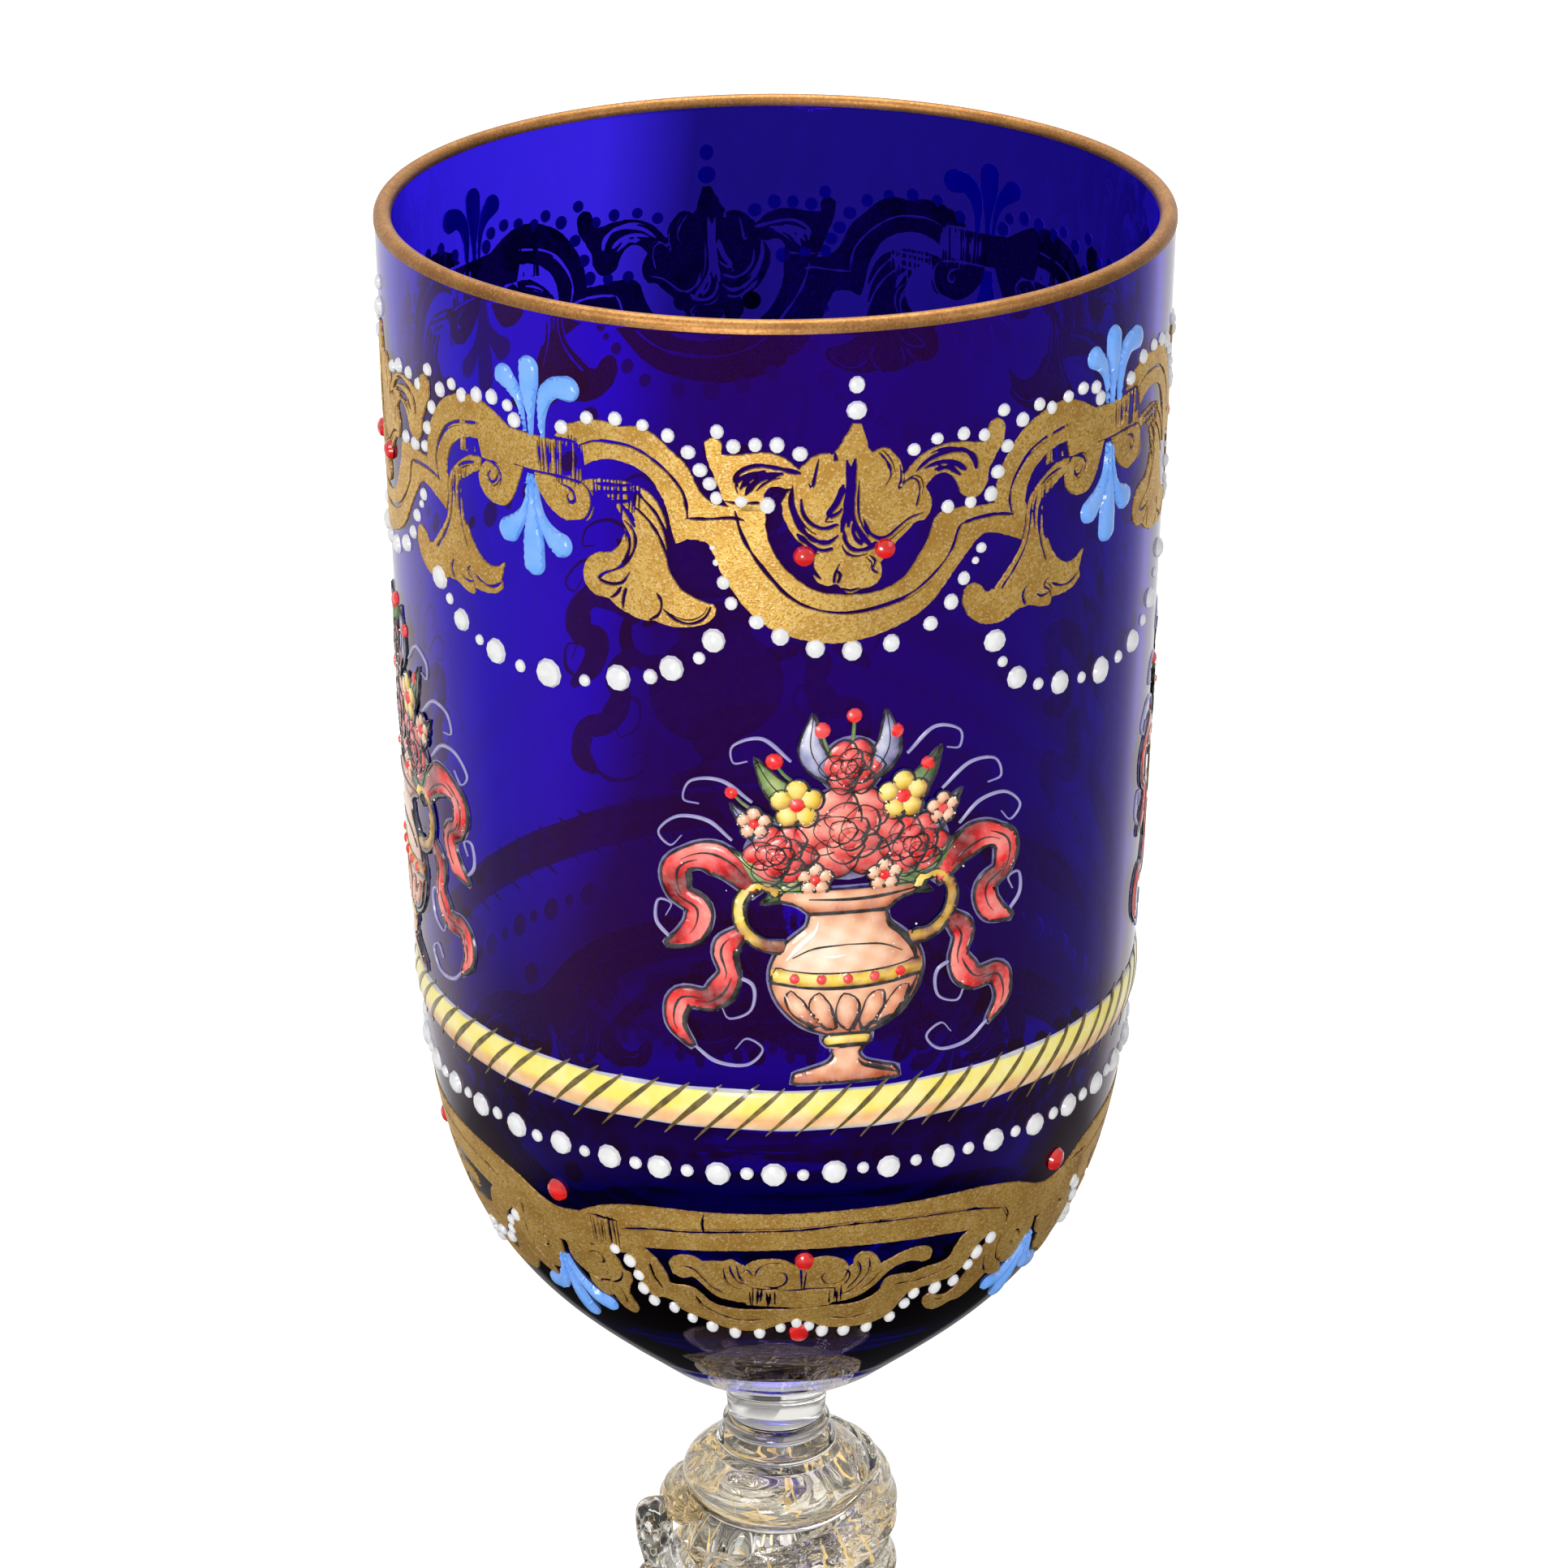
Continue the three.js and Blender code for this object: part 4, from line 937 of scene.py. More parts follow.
CORNICE_LINES = [
    [(-17.6, 98.8), (-14, 98.1), (-10, 97.8), (-6, 97.4), (-2, 97.1), (3, 96.9), (8, 96.6), (13, 96.8),
     (18, 97.2), (22, 97.7), (25, 98.4), (27.6, 99.2)],
    [(-7.7, 95.2), (-8, 96.2), (-7.9, 97.4)],
    [(-24.6, 102.4), (-23, 102.2), (-21.6, 102)],
    [(-21.8, 98), (-20, 97.9), (-17.8, 98)],
    [(28.4, 102.6), (31, 102.4), (34, 102.7)],
    [(27.8, 99), (28.8, 100.4), (28.6, 102)],
]
CORNICE_TIES = [(-21.7, -17.9, 98, 101.8, 9)]
CARTOUCHE_LINES = [
    [(-9.6, 106.4), (-8.8, 107.9), (-6.6, 109.2), (-4, 109.8), (-1, 109.4)],
    [(14.2, 105.6), (16.6, 105.8), (19.4, 105.5), (21.8, 105)],
    [(-14.8, 102.8), (-14.4, 104.6), (-13.6, 106)],
    [(6.4, 109.4), (9.4, 109.9), (12.2, 109.4)],
]
BASKET = [
    [(-12.3, 102.2), (-11.6, 101.3), (-10.4, 100.9), (-9.2, 101), (-8.2, 101.5), (-7.2, 101.3)],
    [(-7.2, 101.3), (-6, 101.3), (-5, 100.9), (-4.4, 101.3), (-3.4, 101.7)],
    [(-3.4, 101.7), (-2.4, 101), (-1, 100.7), (0.6, 100.8), (2, 101.4), (2.9, 102)],
    [(2.9, 102), (3.6, 101.1), (4.8, 100.6), (6.2, 100.6), (7.6, 101.2), (8.4, 102.2)],
    [(8.8, 101.9), (9, 101), (9.7, 100.4), (10.8, 100.6), (11.6, 101.4), (12.1, 102.4)],
    [(12.1, 102.4), (13.2, 101.9), (14.6, 101.3), (16.2, 101), (17.6, 101.2), (18.4, 101.9), (18.3, 102.9)],
    [(18.3, 102.9), (17.4, 103.1), (16.2, 102.7), (14.9, 102.7), (13.7, 103.1), (12.6, 104.1), (11.6, 105.2),
     (10.2, 106.3), (8.4, 106.9), (6.8, 107)],
    [(6.3, 107.4), (3.2, 107.6), (0, 107.4), (-3.4, 107.2)],
    [(-3.6, 106.9), (-5, 106.7), (-6.6, 106.3), (-7.8, 105.5), (-8.6, 104.5), (-9.6, 103.7), (-10.8, 104),
     (-12, 103.6)],
]
BASKET_LINES = [
    [(0.2, 102.4), (1, 102.6), (1.3, 103.4), (0.9, 104.2), (0, 104.6), (-1.6, 104.4)],
    [(5.6, 102.6), (5.3, 103.4), (5.8, 104.2), (7, 104.4), (8, 103.6), (8.3, 102.4)],
    [(-2.4, 103), (-1.8, 101.8), (-0.6, 101.2), (0.8, 101.2)],
    [(-2.8, 104.6), (-1.4, 104.9), (0.4, 104.8)],
    [(2.8, 101.8), (2.9, 103.2), (3, 104.8)],
    [(3.5, 102.4), (3.4, 103.6), (3.3, 104.8)],
    [(0, 104.9), (2, 105.1), (4.4, 104.9), (7, 105)],
    [(-5.9, 102), (-5.8, 103.4), (-5, 104.6), (-3.6, 105)],
    [(-5.2, 101.6), (-5, 102.8), (-4.2, 104), (-3.2, 104.2)],
    [(-4.4, 101.6), (-4.2, 102.8), (-3.6, 103.8), (-2.6, 103.6)],
    [(-4, 102.6), (-3.2, 102.2), (-2.6, 103)],
    [(-10.8, 102.4), (-9.6, 102.6), (-8.7, 103.4), (-7.6, 104.8), (-6.2, 105.6)],
    [(-0.1, 105.2), (-0.1, 107.2)],
    [(6.3, 105.2), (6.4, 107.2)],
    [(9.2, 101.4), (9.8, 102.6), (9.4, 104), (8.4, 105.2)],
    [(10.6, 101.2), (10.8, 102.6), (10.2, 104.2), (8.8, 105.6), (7.4, 106.2)],
    [(12.4, 103), (11.6, 104.2), (10.4, 105.4), (8.8, 106.2)],
    [(8, 102.4), (8.6, 103.4), (8, 104.6)],
]
BASKET_TIES = [(-3.2, -0.5, 105, 107.3, 6), (6.8, 7.8, 105, 106.9, 3)]
LINK_SCROLL_RIGHT = [
    [(-26.4, 102.2), (-25.9, 103.2), (-25.8, 104.6), (-25, 105.8), (-23.8, 106.6)],
    [(-23.8, 106.6), (-23.8, 107.7), (-23.1, 108.8), (-22, 109.3), (-20.9, 108.9)],
    [(-20.9, 108.9), (-20.5, 110.1), (-19.7, 111), (-18.7, 111.2), (-18, 110.4), (-18.2, 109.2),
     (-18.6, 108.1)],
    [(-18.6, 108.1), (-18.1, 106.9), (-17.6, 106), (-17.5, 104.9)],
    [(-17.5, 104.9), (-18.4, 104.6), (-18.8, 103.4), (-19.6, 102.2)],
]
LINK_SCROLL_LEFT = [
    [(33.8, 102.2), (34.3, 103.4), (34.2, 104.9), (33.8, 106.3), (32.8, 107.4), (31.4, 107.8), (30.2, 107.5)],
    [(30.2, 107.5), (31, 108.6), (31, 109.2), (29.6, 109), (28, 108.2)],
    [(28, 108.2), (27.2, 109.2), (26.3, 110.2), (25, 110.9), (23.7, 110.9), (22.6, 111.3), (21.4, 111.4),
     (20.2, 110.9), (19.3, 110), (19, 109), (19.8, 108.4)],
    [(19.8, 108.4), (21, 109.2), (22.3, 109.5), (23.3, 109), (24, 107.9), (24.4, 106.9)],
    [(24.4, 106.9), (24.8, 105.2), (26, 103.8), (27.6, 102.4)],
]
LINK_LINES = [
    [(-22.8, 103.4), (-21.8, 103), (-20.9, 103.5), (-21, 104.3), (-21.8, 104.4)],
    [(-22.4, 107.4), (-21.4, 107), (-20.2, 106.9), (-19, 106), (-18.6, 104.8)],
    [(-19.6, 107.4), (-19.2, 108.8), (-19.5, 109.8)],
    [(-23.6, 106.7), (-22, 107), (-20.6, 106.6)],
    [(30.4, 103.6), (31.4, 103.4), (32, 104.2), (31.4, 105), (30.6, 104.8)],
    [(28.6, 103), (28.4, 104.8), (29.2, 106.6), (30.4, 107.4)],
    [(26.6, 104.8), (27, 106.6), (28, 108)],
    [(20.6, 109.4), (22.2, 110.1), (23.8, 109.8)],
]

GILT_FRINGE = 0.08
UPPER_TORN, LOWER_TORN = 0.05, 0.04
CROWN_ABOVE, LINKS_ABOVE = 0.04, 0.03
ROPE_TOP, ROPE_BOTTOM = 80.1, 84.8
ROPE_WIDTH = ROPE_BOTTOM - ROPE_TOP
ROPE_STRANDS, ROPE_COLUMNS, ROPE_ROWS = 72, 360, 12
ROPE_SLANT, ROPE_BOW = 2.9, 0.25
PEARL_BAND, BAND_PEARLS = 90, 10
DRAWN_PEARL, UPPER_PEARL, LOWER_PEARL = 1.3, 0.7, 0.78
SCENE_MIDDLE = DRAWN_REPEAT / 9 + 0.4
SCENE_FOOT = ROPE_TOP - 0.5
SCENE_SCALE = 0.985

# Pearls along the upper frieze, its swags and the lower frieze: place and, where it differs, radius
UPPER_STRING = [
    (-33.2, 11.5), (-31, 10.9), (-28.9, 10.6), (-26.9, 11), (-26.1, 12.3), (-20.6, 11.9), (-17.9, 10.5),
    (-15, 10.2), (-12.3, 10.5), (-9.9, 11.3), (-8, 12.8), (-6.9, 14.5), (-6, 15.8), (-5.4, 17.2),
    (-3.1, 17.4), (-0.7, 17.8), (-5.3, 10.6), (-3.8, 12), (-1.8, 11.8), (0.2, 11.8), (2.3, 12.7), (13, 13),
    (15.3, 12.2), (18, 12.1), (20.2, 12.6), (22.3, 10.5), (24.5, 11.9), (26.5, 10.8), (22.8, 14.2),
    (21.8, 16.6), (21.1, 18.7), (18.9, 19.1), (16.5, 19.2),
]
STRAP_STRING = [
    (-5.8, 22.2, 0.35), (-5.5, 23.7, 0.35), (-4.8, 25.7, 0.72), (-4.1, 27.8, 0.58), (-1.7, 29.6, 0.82),
    (0.5, 31.1, 0.9), (3.8, 32.4, 1.05), (7.3, 32.8, 0.95), (11.1, 32.4, 0.95), (15, 30.9, 0.85),
    (17.1, 29, 0.75), (18.4, 26.8, 0.68), (19.6, 25.2, 0.4), (20.2, 24, 0.6),
]
SWAG_DEEP = [
    (-38.4, 31.8, 1.15), (-36.8, 33.6, 0.55), (-34.8, 35.2, 1.15), (-32.1, 36.5, 0.6), (-29.7, 37, 1.2),
    (-26.5, 37.7, 0.65), (-23, 37.6, 1.42), (-18.9, 37.5, 0.7), (-15.3, 36.6, 1.38), (-12, 36, 0.75),
    (-9.9, 34.9, 1.2), (-7.2, 33.6, 0.65), (-5.8, 31.7, 1.1),
]
SWAG_FLAT = [
    (-39.2, 34, 1.15), (-38.2, 36.4, 0.6), (-36.4, 38.5, 1.15), (-33.6, 39.9, 0.6), (-30.6, 40.6, 1.3),
    (-27.2, 41.1, 0.65), (-23.9, 41.4, 1.3), (-20.3, 41.2, 0.65), (-17, 40.7, 1.25), (-13.9, 39.6, 0.65),
    (-11.3, 38.2, 1.15), (-9.2, 36.2, 0.6), (-7.8, 34, 1.05),
]
CROWN_PEARLS = [(7.5, 8.6, 1.1), (7.5, 6.1, 0.75)]
CROWN_JEWELS = [(2.7, 22.9, 1.05), (10.3, 22.6, 1.05)]
LOWER_STRING = [
    (-18.9, 101.8), (-17.2, 103), (-16.4, 104.8), (-16.2, 106.7), (-15.2, 108.3), (-12.7, 108.9),
    (-10.6, 110.2), (-8.2, 111.3), (-5.3, 112), (-2.1, 111.9), (0.6, 110.9), (2.6, 110.1), (4.2, 110.7),
    (6, 111.7), (8.9, 112), (12, 112), (14.9, 110.9), (16.4, 109.1), (17.3, 107.7), (20.2, 107.7),
    (22.8, 107.5), (24.3, 105.7), (25.1, 104.2), (26.8, 102.8),
]
LOWER_JEWELS = [(-25.6, 96.2, 1.3), (3.2, 100.9, 1.1), (3, 111.7, 1.35)]

# Plumes: each drop of enamel is drawn along its middle, from the root to the round end
UPPER_PLUME = [
    ([(-24.8, 13.4), (-25, 11.8), (-25.4, 10.2), (-26.1, 9), (-27.2, 8)], [0.4, 0.45, 0.8, 1.5, 2.1], 1.15),
    ([(-24.1, 13.4), (-24.1, 11.3), (-24.2, 9.4), (-24.2, 7.6), (-24.2, 6.6)], [0.5, 0.75, 1.45, 2.25, 2.3],
     1.15),
    ([(-22.8, 13.4), (-22.8, 11.1), (-22.4, 9.3), (-21.4, 8.2), (-19.9, 8)], [0.5, 0.85, 1.5, 2.1, 2.4], 1.3),
]
DROP_PLUME = [
    ([(-24.6, 17.3), (-24.8, 20), (-25.5, 21.7), (-26.4, 22.8), (-27.2, 23.6)], [0.35, 0.6, 0.9, 1.6, 2.3],
     1.3),
    ([(-24.2, 17.3), (-24.2, 20.4), (-24.2, 23.2), (-24.2, 25.6), (-24.2, 26.4)], [0.4, 0.75, 1.6, 2.45, 2.5],
     1.25),
    ([(-23.8, 17.3), (-23.5, 20.2), (-22.9, 22.1), (-21.9, 23.3), (-21.1, 23.9)], [0.35, 0.6, 0.9, 1.7, 2.3],
     1.3),
]
HANGING_PLUME = [
    ([(-27.5, 105), (-28.1, 107.2), (-28.9, 109), (-30, 110.2), (-31.4, 110.4)], [0.5, 0.8, 1.3, 1.8, 1.9],
     1),
    ([(-27.1, 105), (-27.1, 107.6), (-27.2, 110), (-27.1, 112.4), (-26.9, 113.2)], [0.5, 0.8, 1.5, 2.2, 2.2],
     1.1),
    ([(-26.6, 105), (-26, 107.2), (-25, 109), (-23.8, 110.3), (-22.4, 110.8)], [0.5, 0.8, 1.3, 2, 2.1], 1.1),
]

# The painted scene between the friezes, in millimetres from its middle and up from the rope band
PEACH = screen(246, 214, 178), screen(226, 150, 108), screen(168, 78, 44)
CREAM = screen(250, 230, 204), screen(236, 180, 140), screen(190, 98, 60)
YELLOW = screen(250, 240, 170), screen(244, 204, 60), screen(128, 54, 24)
RED = screen(240, 130, 120), screen(230, 26, 28), screen(84, 4, 10)
ROSE = screen(250, 176, 150), screen(228, 76, 70), screen(140, 10, 18)
LEAF = screen(196, 206, 130), screen(96, 128, 62), screen(30, 56, 26)
SILVER = screen(226, 226, 236), screen(150, 150, 188), screen(74, 72, 120)
LILAC = screen(150, 146, 190)
HALO = screen(104, 98, 150)
WHITE = screen(250, 246, 238)



def evened(right):
    """The runs of an even shape from its right side: along its foot, up, across its top and down."""
    left = mirrored(right)[::-1]
    return [[left[-1], right[0]], right, [right[-1], left[0]], left]


URN_FOOT_SIDE = [(5.4, 1.4), (3.8, 1.9), (1.9, 2.6), (1.3, 3.6), (1.9, 4.4)]
URN_FOOT = [[(-5.6, 0.3), (5.6, 0.3)], URN_FOOT_SIDE, mirrored(URN_FOOT_SIDE)[::-1]]
URN_KNOP = [[(-2.1, 4.5), (-2.5, 5.1), (-2.1, 5.7), (2.1, 5.7), (2.5, 5.1), (2.1, 4.5)]]
URN_BODY = evened([(1.9, 5.7), (4.8, 7), (7, 9.4), (7.9, 12.2), (7.4, 14.6), (5.8, 16.6), (4.2, 18),
                   (3.9, 19.4)])
URN_LIP = evened([(3.9, 19.4), (5.2, 20.4), (6.9, 21), (6.9, 22)])
URN_BELT = [
    [(-7.8, 11.9), (-4, 11.2), (0, 11), (4, 11.2), (7.8, 11.9)],
    [(7.8, 13.6), (4, 12.9), (0, 12.7), (-4, 12.9), (-7.8, 13.6)],
]

# Brushed parts: points along the middle and the widths along them, and for lines how far they stand off
URN_HANDLE = (
    [(6.3, 15.8), (8.8, 16.2), (10.6, 18), (10.9, 20.6), (9.6, 22.4), (7.8, 22.4), (7, 21.4)],
    [1.5, 1.3, 1.2, 1.2, 1.1, 0.9, 1.3],
)
URN_GADROONS = [
    ([(0, 6.3), (0, 8.6), (0, 10.4)], [0.9, 2.2, 2.4, 0.8]),
    ([(1.4, 6.4), (2.6, 8.4), (3.3, 10.5)], [0.7, 1.8, 2.2, 0.8]),
    ([(2.8, 6.9), (4.8, 8.6), (6.1, 10.8)], [0.6, 1.4, 1.8, 0.7]),
]
URN_SHADE_LINES = [
    ([(3.9, 19), (4.2, 17.6), (5.6, 16.4), (6.9, 14.4), (7.2, 12.4)], [0.1, 0.5, 0.7, 0.6, 0.1], 0.24),
    ([(1.9, 6.4), (4.4, 7.6), (6.4, 9.6), (7.3, 11.4)], [0.1, 0.6, 0.7, 0.1], 0.24),
    ([(6.8, 21.4), (3.4, 21), (0, 20.9), (-4, 21.1)], [0.1, 0.5, 0.4, 0.1], 0.34),
    ([(1.2, 2.9), (1.6, 2.2), (3.6, 1.5), (5.2, 0.9)], [0.1, 0.5, 0.6, 0.1], 0.26),
]
URN_LIGHT_LINES = [
    ([(-3, 18.6), (-3.4, 17.4), (-4.8, 16), (-6.2, 14.4)], [0.1, 0.5, 0.6, 0.2], 0.26),
    ([(-6.4, 10.6), (-5.4, 8.8), (-3.6, 7.4)], [0.1, 0.4, 0.1], 0.26),
    ([(-3, 15), (-1.6, 14.6), (-0.2, 14.8)], [0.1, 0.5, 0.1], 0.28),
]
RIBBON_UPPER = (
    [(9.2, 21.6), (11.8, 24.6), (14.6, 25.6), (17.2, 24.2), (17, 21.4), (15, 19.8), (15.6, 17.2),
     (18.4, 15.4)],
    [1.2, 2.6, 3.4, 2.2, 2.8, 2, 2.6, 2.4, 0.4],
)
RIBBON_LOWER = (
    [(10.2, 17.8), (12.4, 15.4), (12, 12.4), (13.8, 9.8), (16.8, 9.6), (17.6, 6.8), (15.8, 4.2)],
    [1, 2.4, 1.8, 2.8, 2, 2.4, 1.6, 0.4],
)
TENDRILS = [
    [(17.6, 15.8), (19.4, 17.8), (19.2, 20.2), (17.8, 20), (18.4, 18.6)],
    [(15.8, 4.4), (13.4, 2.6), (10.2, 2.4), (8.6, 4.2), (10.2, 5.4), (11.4, 4.2)],
    [(11.6, 27.4), (14, 29.4), (17, 29.6), (19, 27.8), (17.8, 26.4), (16.6, 27.6)],
    [(9.6, 31.6), (12.6, 33.8), (15.6, 33.6), (16.4, 31.6), (14.8, 31.2)],
    [(5.8, 36), (8.6, 38.4), (11.4, 37.6), (11.4, 35.8), (10, 36)],
    [(12, 12.6), (9.6, 11.4), (9.8, 8.6), (12, 7.6), (12.8, 9)],
]
LEAVES = [
    ([(4.4, 23), (8.4, 23.4), (12, 26.6)], LEAF),
    ([(3.4, 26.6), (8.6, 28.2), (11.8, 31.4)], SILVER),
    ([(2.6, 30), (7, 32.8), (9.4, 36.4)], LEAF),
    ([(1.6, 33.4), (3.8, 37), (3.6, 41)], SILVER),
    ([(1.2, 24), (5, 22.6), (8.8, 20.6)], LEAF),
]

# Flowers and buds: the place of each and its radius
ROSES = [(0.2, 35.2, 2.8, RED), (-6.8, 25.8, 3.2, RED), (6.8, 26, 3.2, RED), (0, 28.2, 4.6, ROSE)]
BLOSSOMS = [
    (-5.2, 31.4, 2.6, YELLOW), (5.4, 31.6, 2.6, YELLOW), (-3.4, 23.2, 1.8, CREAM), (3.6, 23.2, 1.8, CREAM),
    (-9.4, 29.4, 1.7, CREAM), (9.6, 29.6, 1.7, CREAM),
]
BUDS = [
    (-2.8, 39.2, 0.9), (4.6, 38.6, 0.8), (-7.4, 36, 0.9), (8, 34.6, 0.8), (-11.6, 32.6, 0.7),
    (0.4, 40.6, 0.8),
]


def settings():
    return bpy.context.scene.goblet_sizes


def jittered(generator, value, share):
    return value * (1 + generator.uniform(-share, share))


def hatching(ties, width, seed):
    """Scratches side by side across a tie, a little uneven, as a hand makes them."""
    generator = random.Random(seed)
    made = []
    for left, right, top, bottom, number in ties:
        for i in range(number):
            x = left + (right - left) * (i + generator.uniform(0.1, 0.9)) / number
            lean = generator.uniform(-0.25, 0.25)
            start = top + generator.uniform(-0.5, 0.5)
            end = bottom + generator.uniform(-0.7, 0.4)
            made.append(brush([(x, start), (x + lean / 2, (start + end) / 2), (x + lean, end)],
                              [width * 0.4, width * generator.uniform(0.7, 1.4), width * 0.4], step=0.5))
    return made


def laid_round(relief, name, kinds, slot, node_name=None, start=0):
    """Copies what was laid once, or turn by turn, to all the repeats, each with its own mesh."""
    reliefs = relief if isinstance(relief, list) else [relief]
    for k in range(REPEATS):
        piece = reliefs[k % len(reliefs)].piece(f"{name}_{k + 1}", kinds, 35, REPEAT_TURN * (k + start))
        clad(piece, None, slot, *([f"{node_name}_{k + 1}"] if node_name else []))


def gild(name, node_name, shapes, engraved, rise):
    """Lays gold with lines engraved through it, and a thin fringe round its edges."""
    relief = Relief()
    relief.sheet(shapes, rise, engraved, fringe=GILT_FRINGE)
    laid_round(relief, name, ["fired_gold", "gilt_fringe"], "gilding", node_name)


# Making the bowl and its decoration

BOWL_SEGMENTS = 256

# The gold line over the lip, in millimetres: how far it stands off and sinks in, and how far down it comes
GILT_FILM, GILT_SUNK, GILT_BEVEL = 0.09, 0.05, 0.05
GILT_SKIRT, GILT_SKIRT_INSIDE = 1, 0.9


def from_rim(profile):
    """Radius and height in metres, from radius and drop below the rim in millimetres."""
    return [(radius * MM, RIM_Z - drop * MM) for radius, drop in profile]


def over_lip(wall, reach, steps):
    """Points over the lip from outside to inside, at that reach from the middle of the wall."""
    middle = RIM_RADIUS / MM - wall / 2
    turns = [math.pi * i / steps for i in range(steps + 1)]
    return [(middle + reach * math.cos(t), LIP_DROP + wall / 2 - reach * math.sin(t)) for t in turns]


class GOBLET_OT_bowl(bpy.types.Operator):
    """Blow the blue bowl: one thin wall with a rounded lip and a thick floor"""

    bl_idname = "goblet.bowl"
    bl_label = "Bowl"

    def execute(self, context):
        wall = settings().bowl_wall / MM
        waist, floor = WAIST - wall, BOTTOM_DROP - FLOOR_THICKNESS
        outside = [p for p in WALL if LIP_END < p.y < BOTTOM_DROP][::2]
        inside = [(p.x - wall, p.y) for p in UPPER_WALL if p.y > LIP_END][::2]
        below = bezier([
            (waist, STRAIGHT_WALL),
            (waist - WALL_HANDLE_INSET, STRAIGHT_WALL + FLOOR_HANDLE_DOWN * (floor - STRAIGHT_WALL)),
            (FLOOR_HANDLE_OUT * WAIST, floor),
            (0, floor),
        ], steps=56)
        profile = [(0, BOTTOM_DROP), (BOTTOM_RADIUS, BOTTOM_DROP), *outside[::-1],
                   *over_lip(wall, wall / 2, steps=10), *inside, *below[1:]]
        clad(turned("blown_bowl", from_rim(profile), BOWL_SEGMENTS), "cobalt_glass", "blue_glass", "bowl")
        return {"FINISHED"}


class GOBLET_OT_rim_gilding(bpy.types.Operator):
    """Gild the lip: a fired gold line over the edge and a little way down both sides"""

    bl_idname = "goblet.rim_gilding"
    bl_label = "Rim gilding"

    def execute(self, context):
        wall = settings().bowl_wall / MM
        outside, inside = RIM_RADIUS / MM, RIM_RADIUS / MM - wall
        start = (outside - GILT_SUNK, GILT_SKIRT)
        film = over_lip(wall, wall / 2 + GILT_FILM, steps=14)
        sunk = over_lip(wall, wall / 2 - GILT_SUNK, steps=14)
        profile = [start, (outside + GILT_FILM, GILT_SKIRT - GILT_BEVEL), *film,
                   (inside - GILT_FILM, GILT_SKIRT_INSIDE - GILT_BEVEL),
                   (inside + GILT_SUNK, GILT_SKIRT_INSIDE), *sunk[::-1], start]
        clad(turned("gilt_rim", from_rim(profile), BOWL_SEGMENTS), "rim_gold", "gilding", "rim_gilding")
        return {"FINISHED"}


class GOBLET_OT_upper_gilding(bpy.types.Operator):
    """Lay the upper gilt frieze: strapwork, leaves and scrolls, with lines engraved through the gold"""

    bl_idname = "goblet.upper_gilding"
    bl_label = "Upper gilding"

    def execute(self, context):
        rise, line = settings().gilding_rise / MM, settings().engraved_line / MM
        generator = random.Random(21)
        straps = torn(generator, UPPER_TORN, UPPER_ARCH_LEFT, UPPER_STRAP, UPPER_ARCH_RIGHT, UPPER_BAR,
                      LEAF_LEFT, LEAF_RIGHT, SCROLL_BY_LEFT, SCROLL_BY_RIGHT)
        engraved = sketched(UPPER_LINES, line, seed=31)
        engraved += hatching(HATCH_TIES, line * 0.85, seed=11)
        gild("gilt_scrollwork", "scrollwork", straps, engraved, rise)
        creased = sketched(CROWN_CREASES, line * 1.6, seed=36)
        creased += sketched(CROWN_LINES, line, seed=32)
        crown = torn(generator, UPPER_TORN, CROWN, CROWN_LEAF_LEFT, CROWN_LEAF_RIGHT)
        gild("gilt_acanthus", "acanthus", crown, creased, rise + CROWN_ABOVE)
        return {"FINISHED"}


class GOBLET_OT_lower_gilding(bpy.types.Operator):
    """Lay the lower gilt frieze: a cornice over a cartouche, a basket of fruit and the linking scrolls"""

    bl_idname = "goblet.lower_gilding"
    bl_label = "Lower gilding"

    def execute(self, context):
        rise, line = settings().gilding_rise / MM, settings().engraved_line / MM
        generator = random.Random(22)
        engraved = sketched([*CORNICE_LINES, *CARTOUCHE_LINES], line, seed=33)
        engraved += hatching(CORNICE_TIES, line * 0.8, seed=12)
        gold = torn(generator, LOWER_TORN, CORNICE, CARTOUCHE)
        gild("gilt_cartouche", "cartouche", gold, engraved, rise)
        engraved = sketched(BASKET_LINES, line * 0.8, seed=34)
        engraved += hatching(BASKET_TIES, line, seed=13)
        gild("gilt_fruit_basket", "fruit_basket", torn(generator, LOWER_TORN, BASKET), engraved, rise)
        right = [moved_on(run) for run in LINK_SCROLL_RIGHT]
        lines = [points if points[0][0] > 0 else moved_on(points) for points in LINK_LINES]
        links = torn(generator, LOWER_TORN, right, LINK_SCROLL_LEFT)
        engraved = sketched(lines, line * 0.9, seed=35)
        gild("gilt_linking_scrolls", "linking_leaf", links, engraved, rise + LINKS_ABOVE)
        return {"FINISHED"}


class GOBLET_OT_plumes(bpy.types.Operator):
    """Lay the light blue plumes: three drops of thick enamel each, pulled out thin at the root"""

    bl_idname = "goblet.plumes"
    bl_label = "Enamel plumes"

    def execute(self, context):
        rise = settings().enamel_rise / MM
        drops = [("upper_plume", UPPER_PLUME), ("drop_plume", DROP_PLUME), ("hanging_plume", HANGING_PLUME)]
        for node_name, strokes in drops:
            relief = Relief()
            for points, widths, bulb in strokes:
                relief.sheet([teardrop(points, widths, bulb)], rise, grid=0.4, dome=0.9)
            laid_round(relief, f"enamel_{node_name}", ["plume_enamel"], "blue_enamel", node_name, 1)
        return {"FINISHED"}


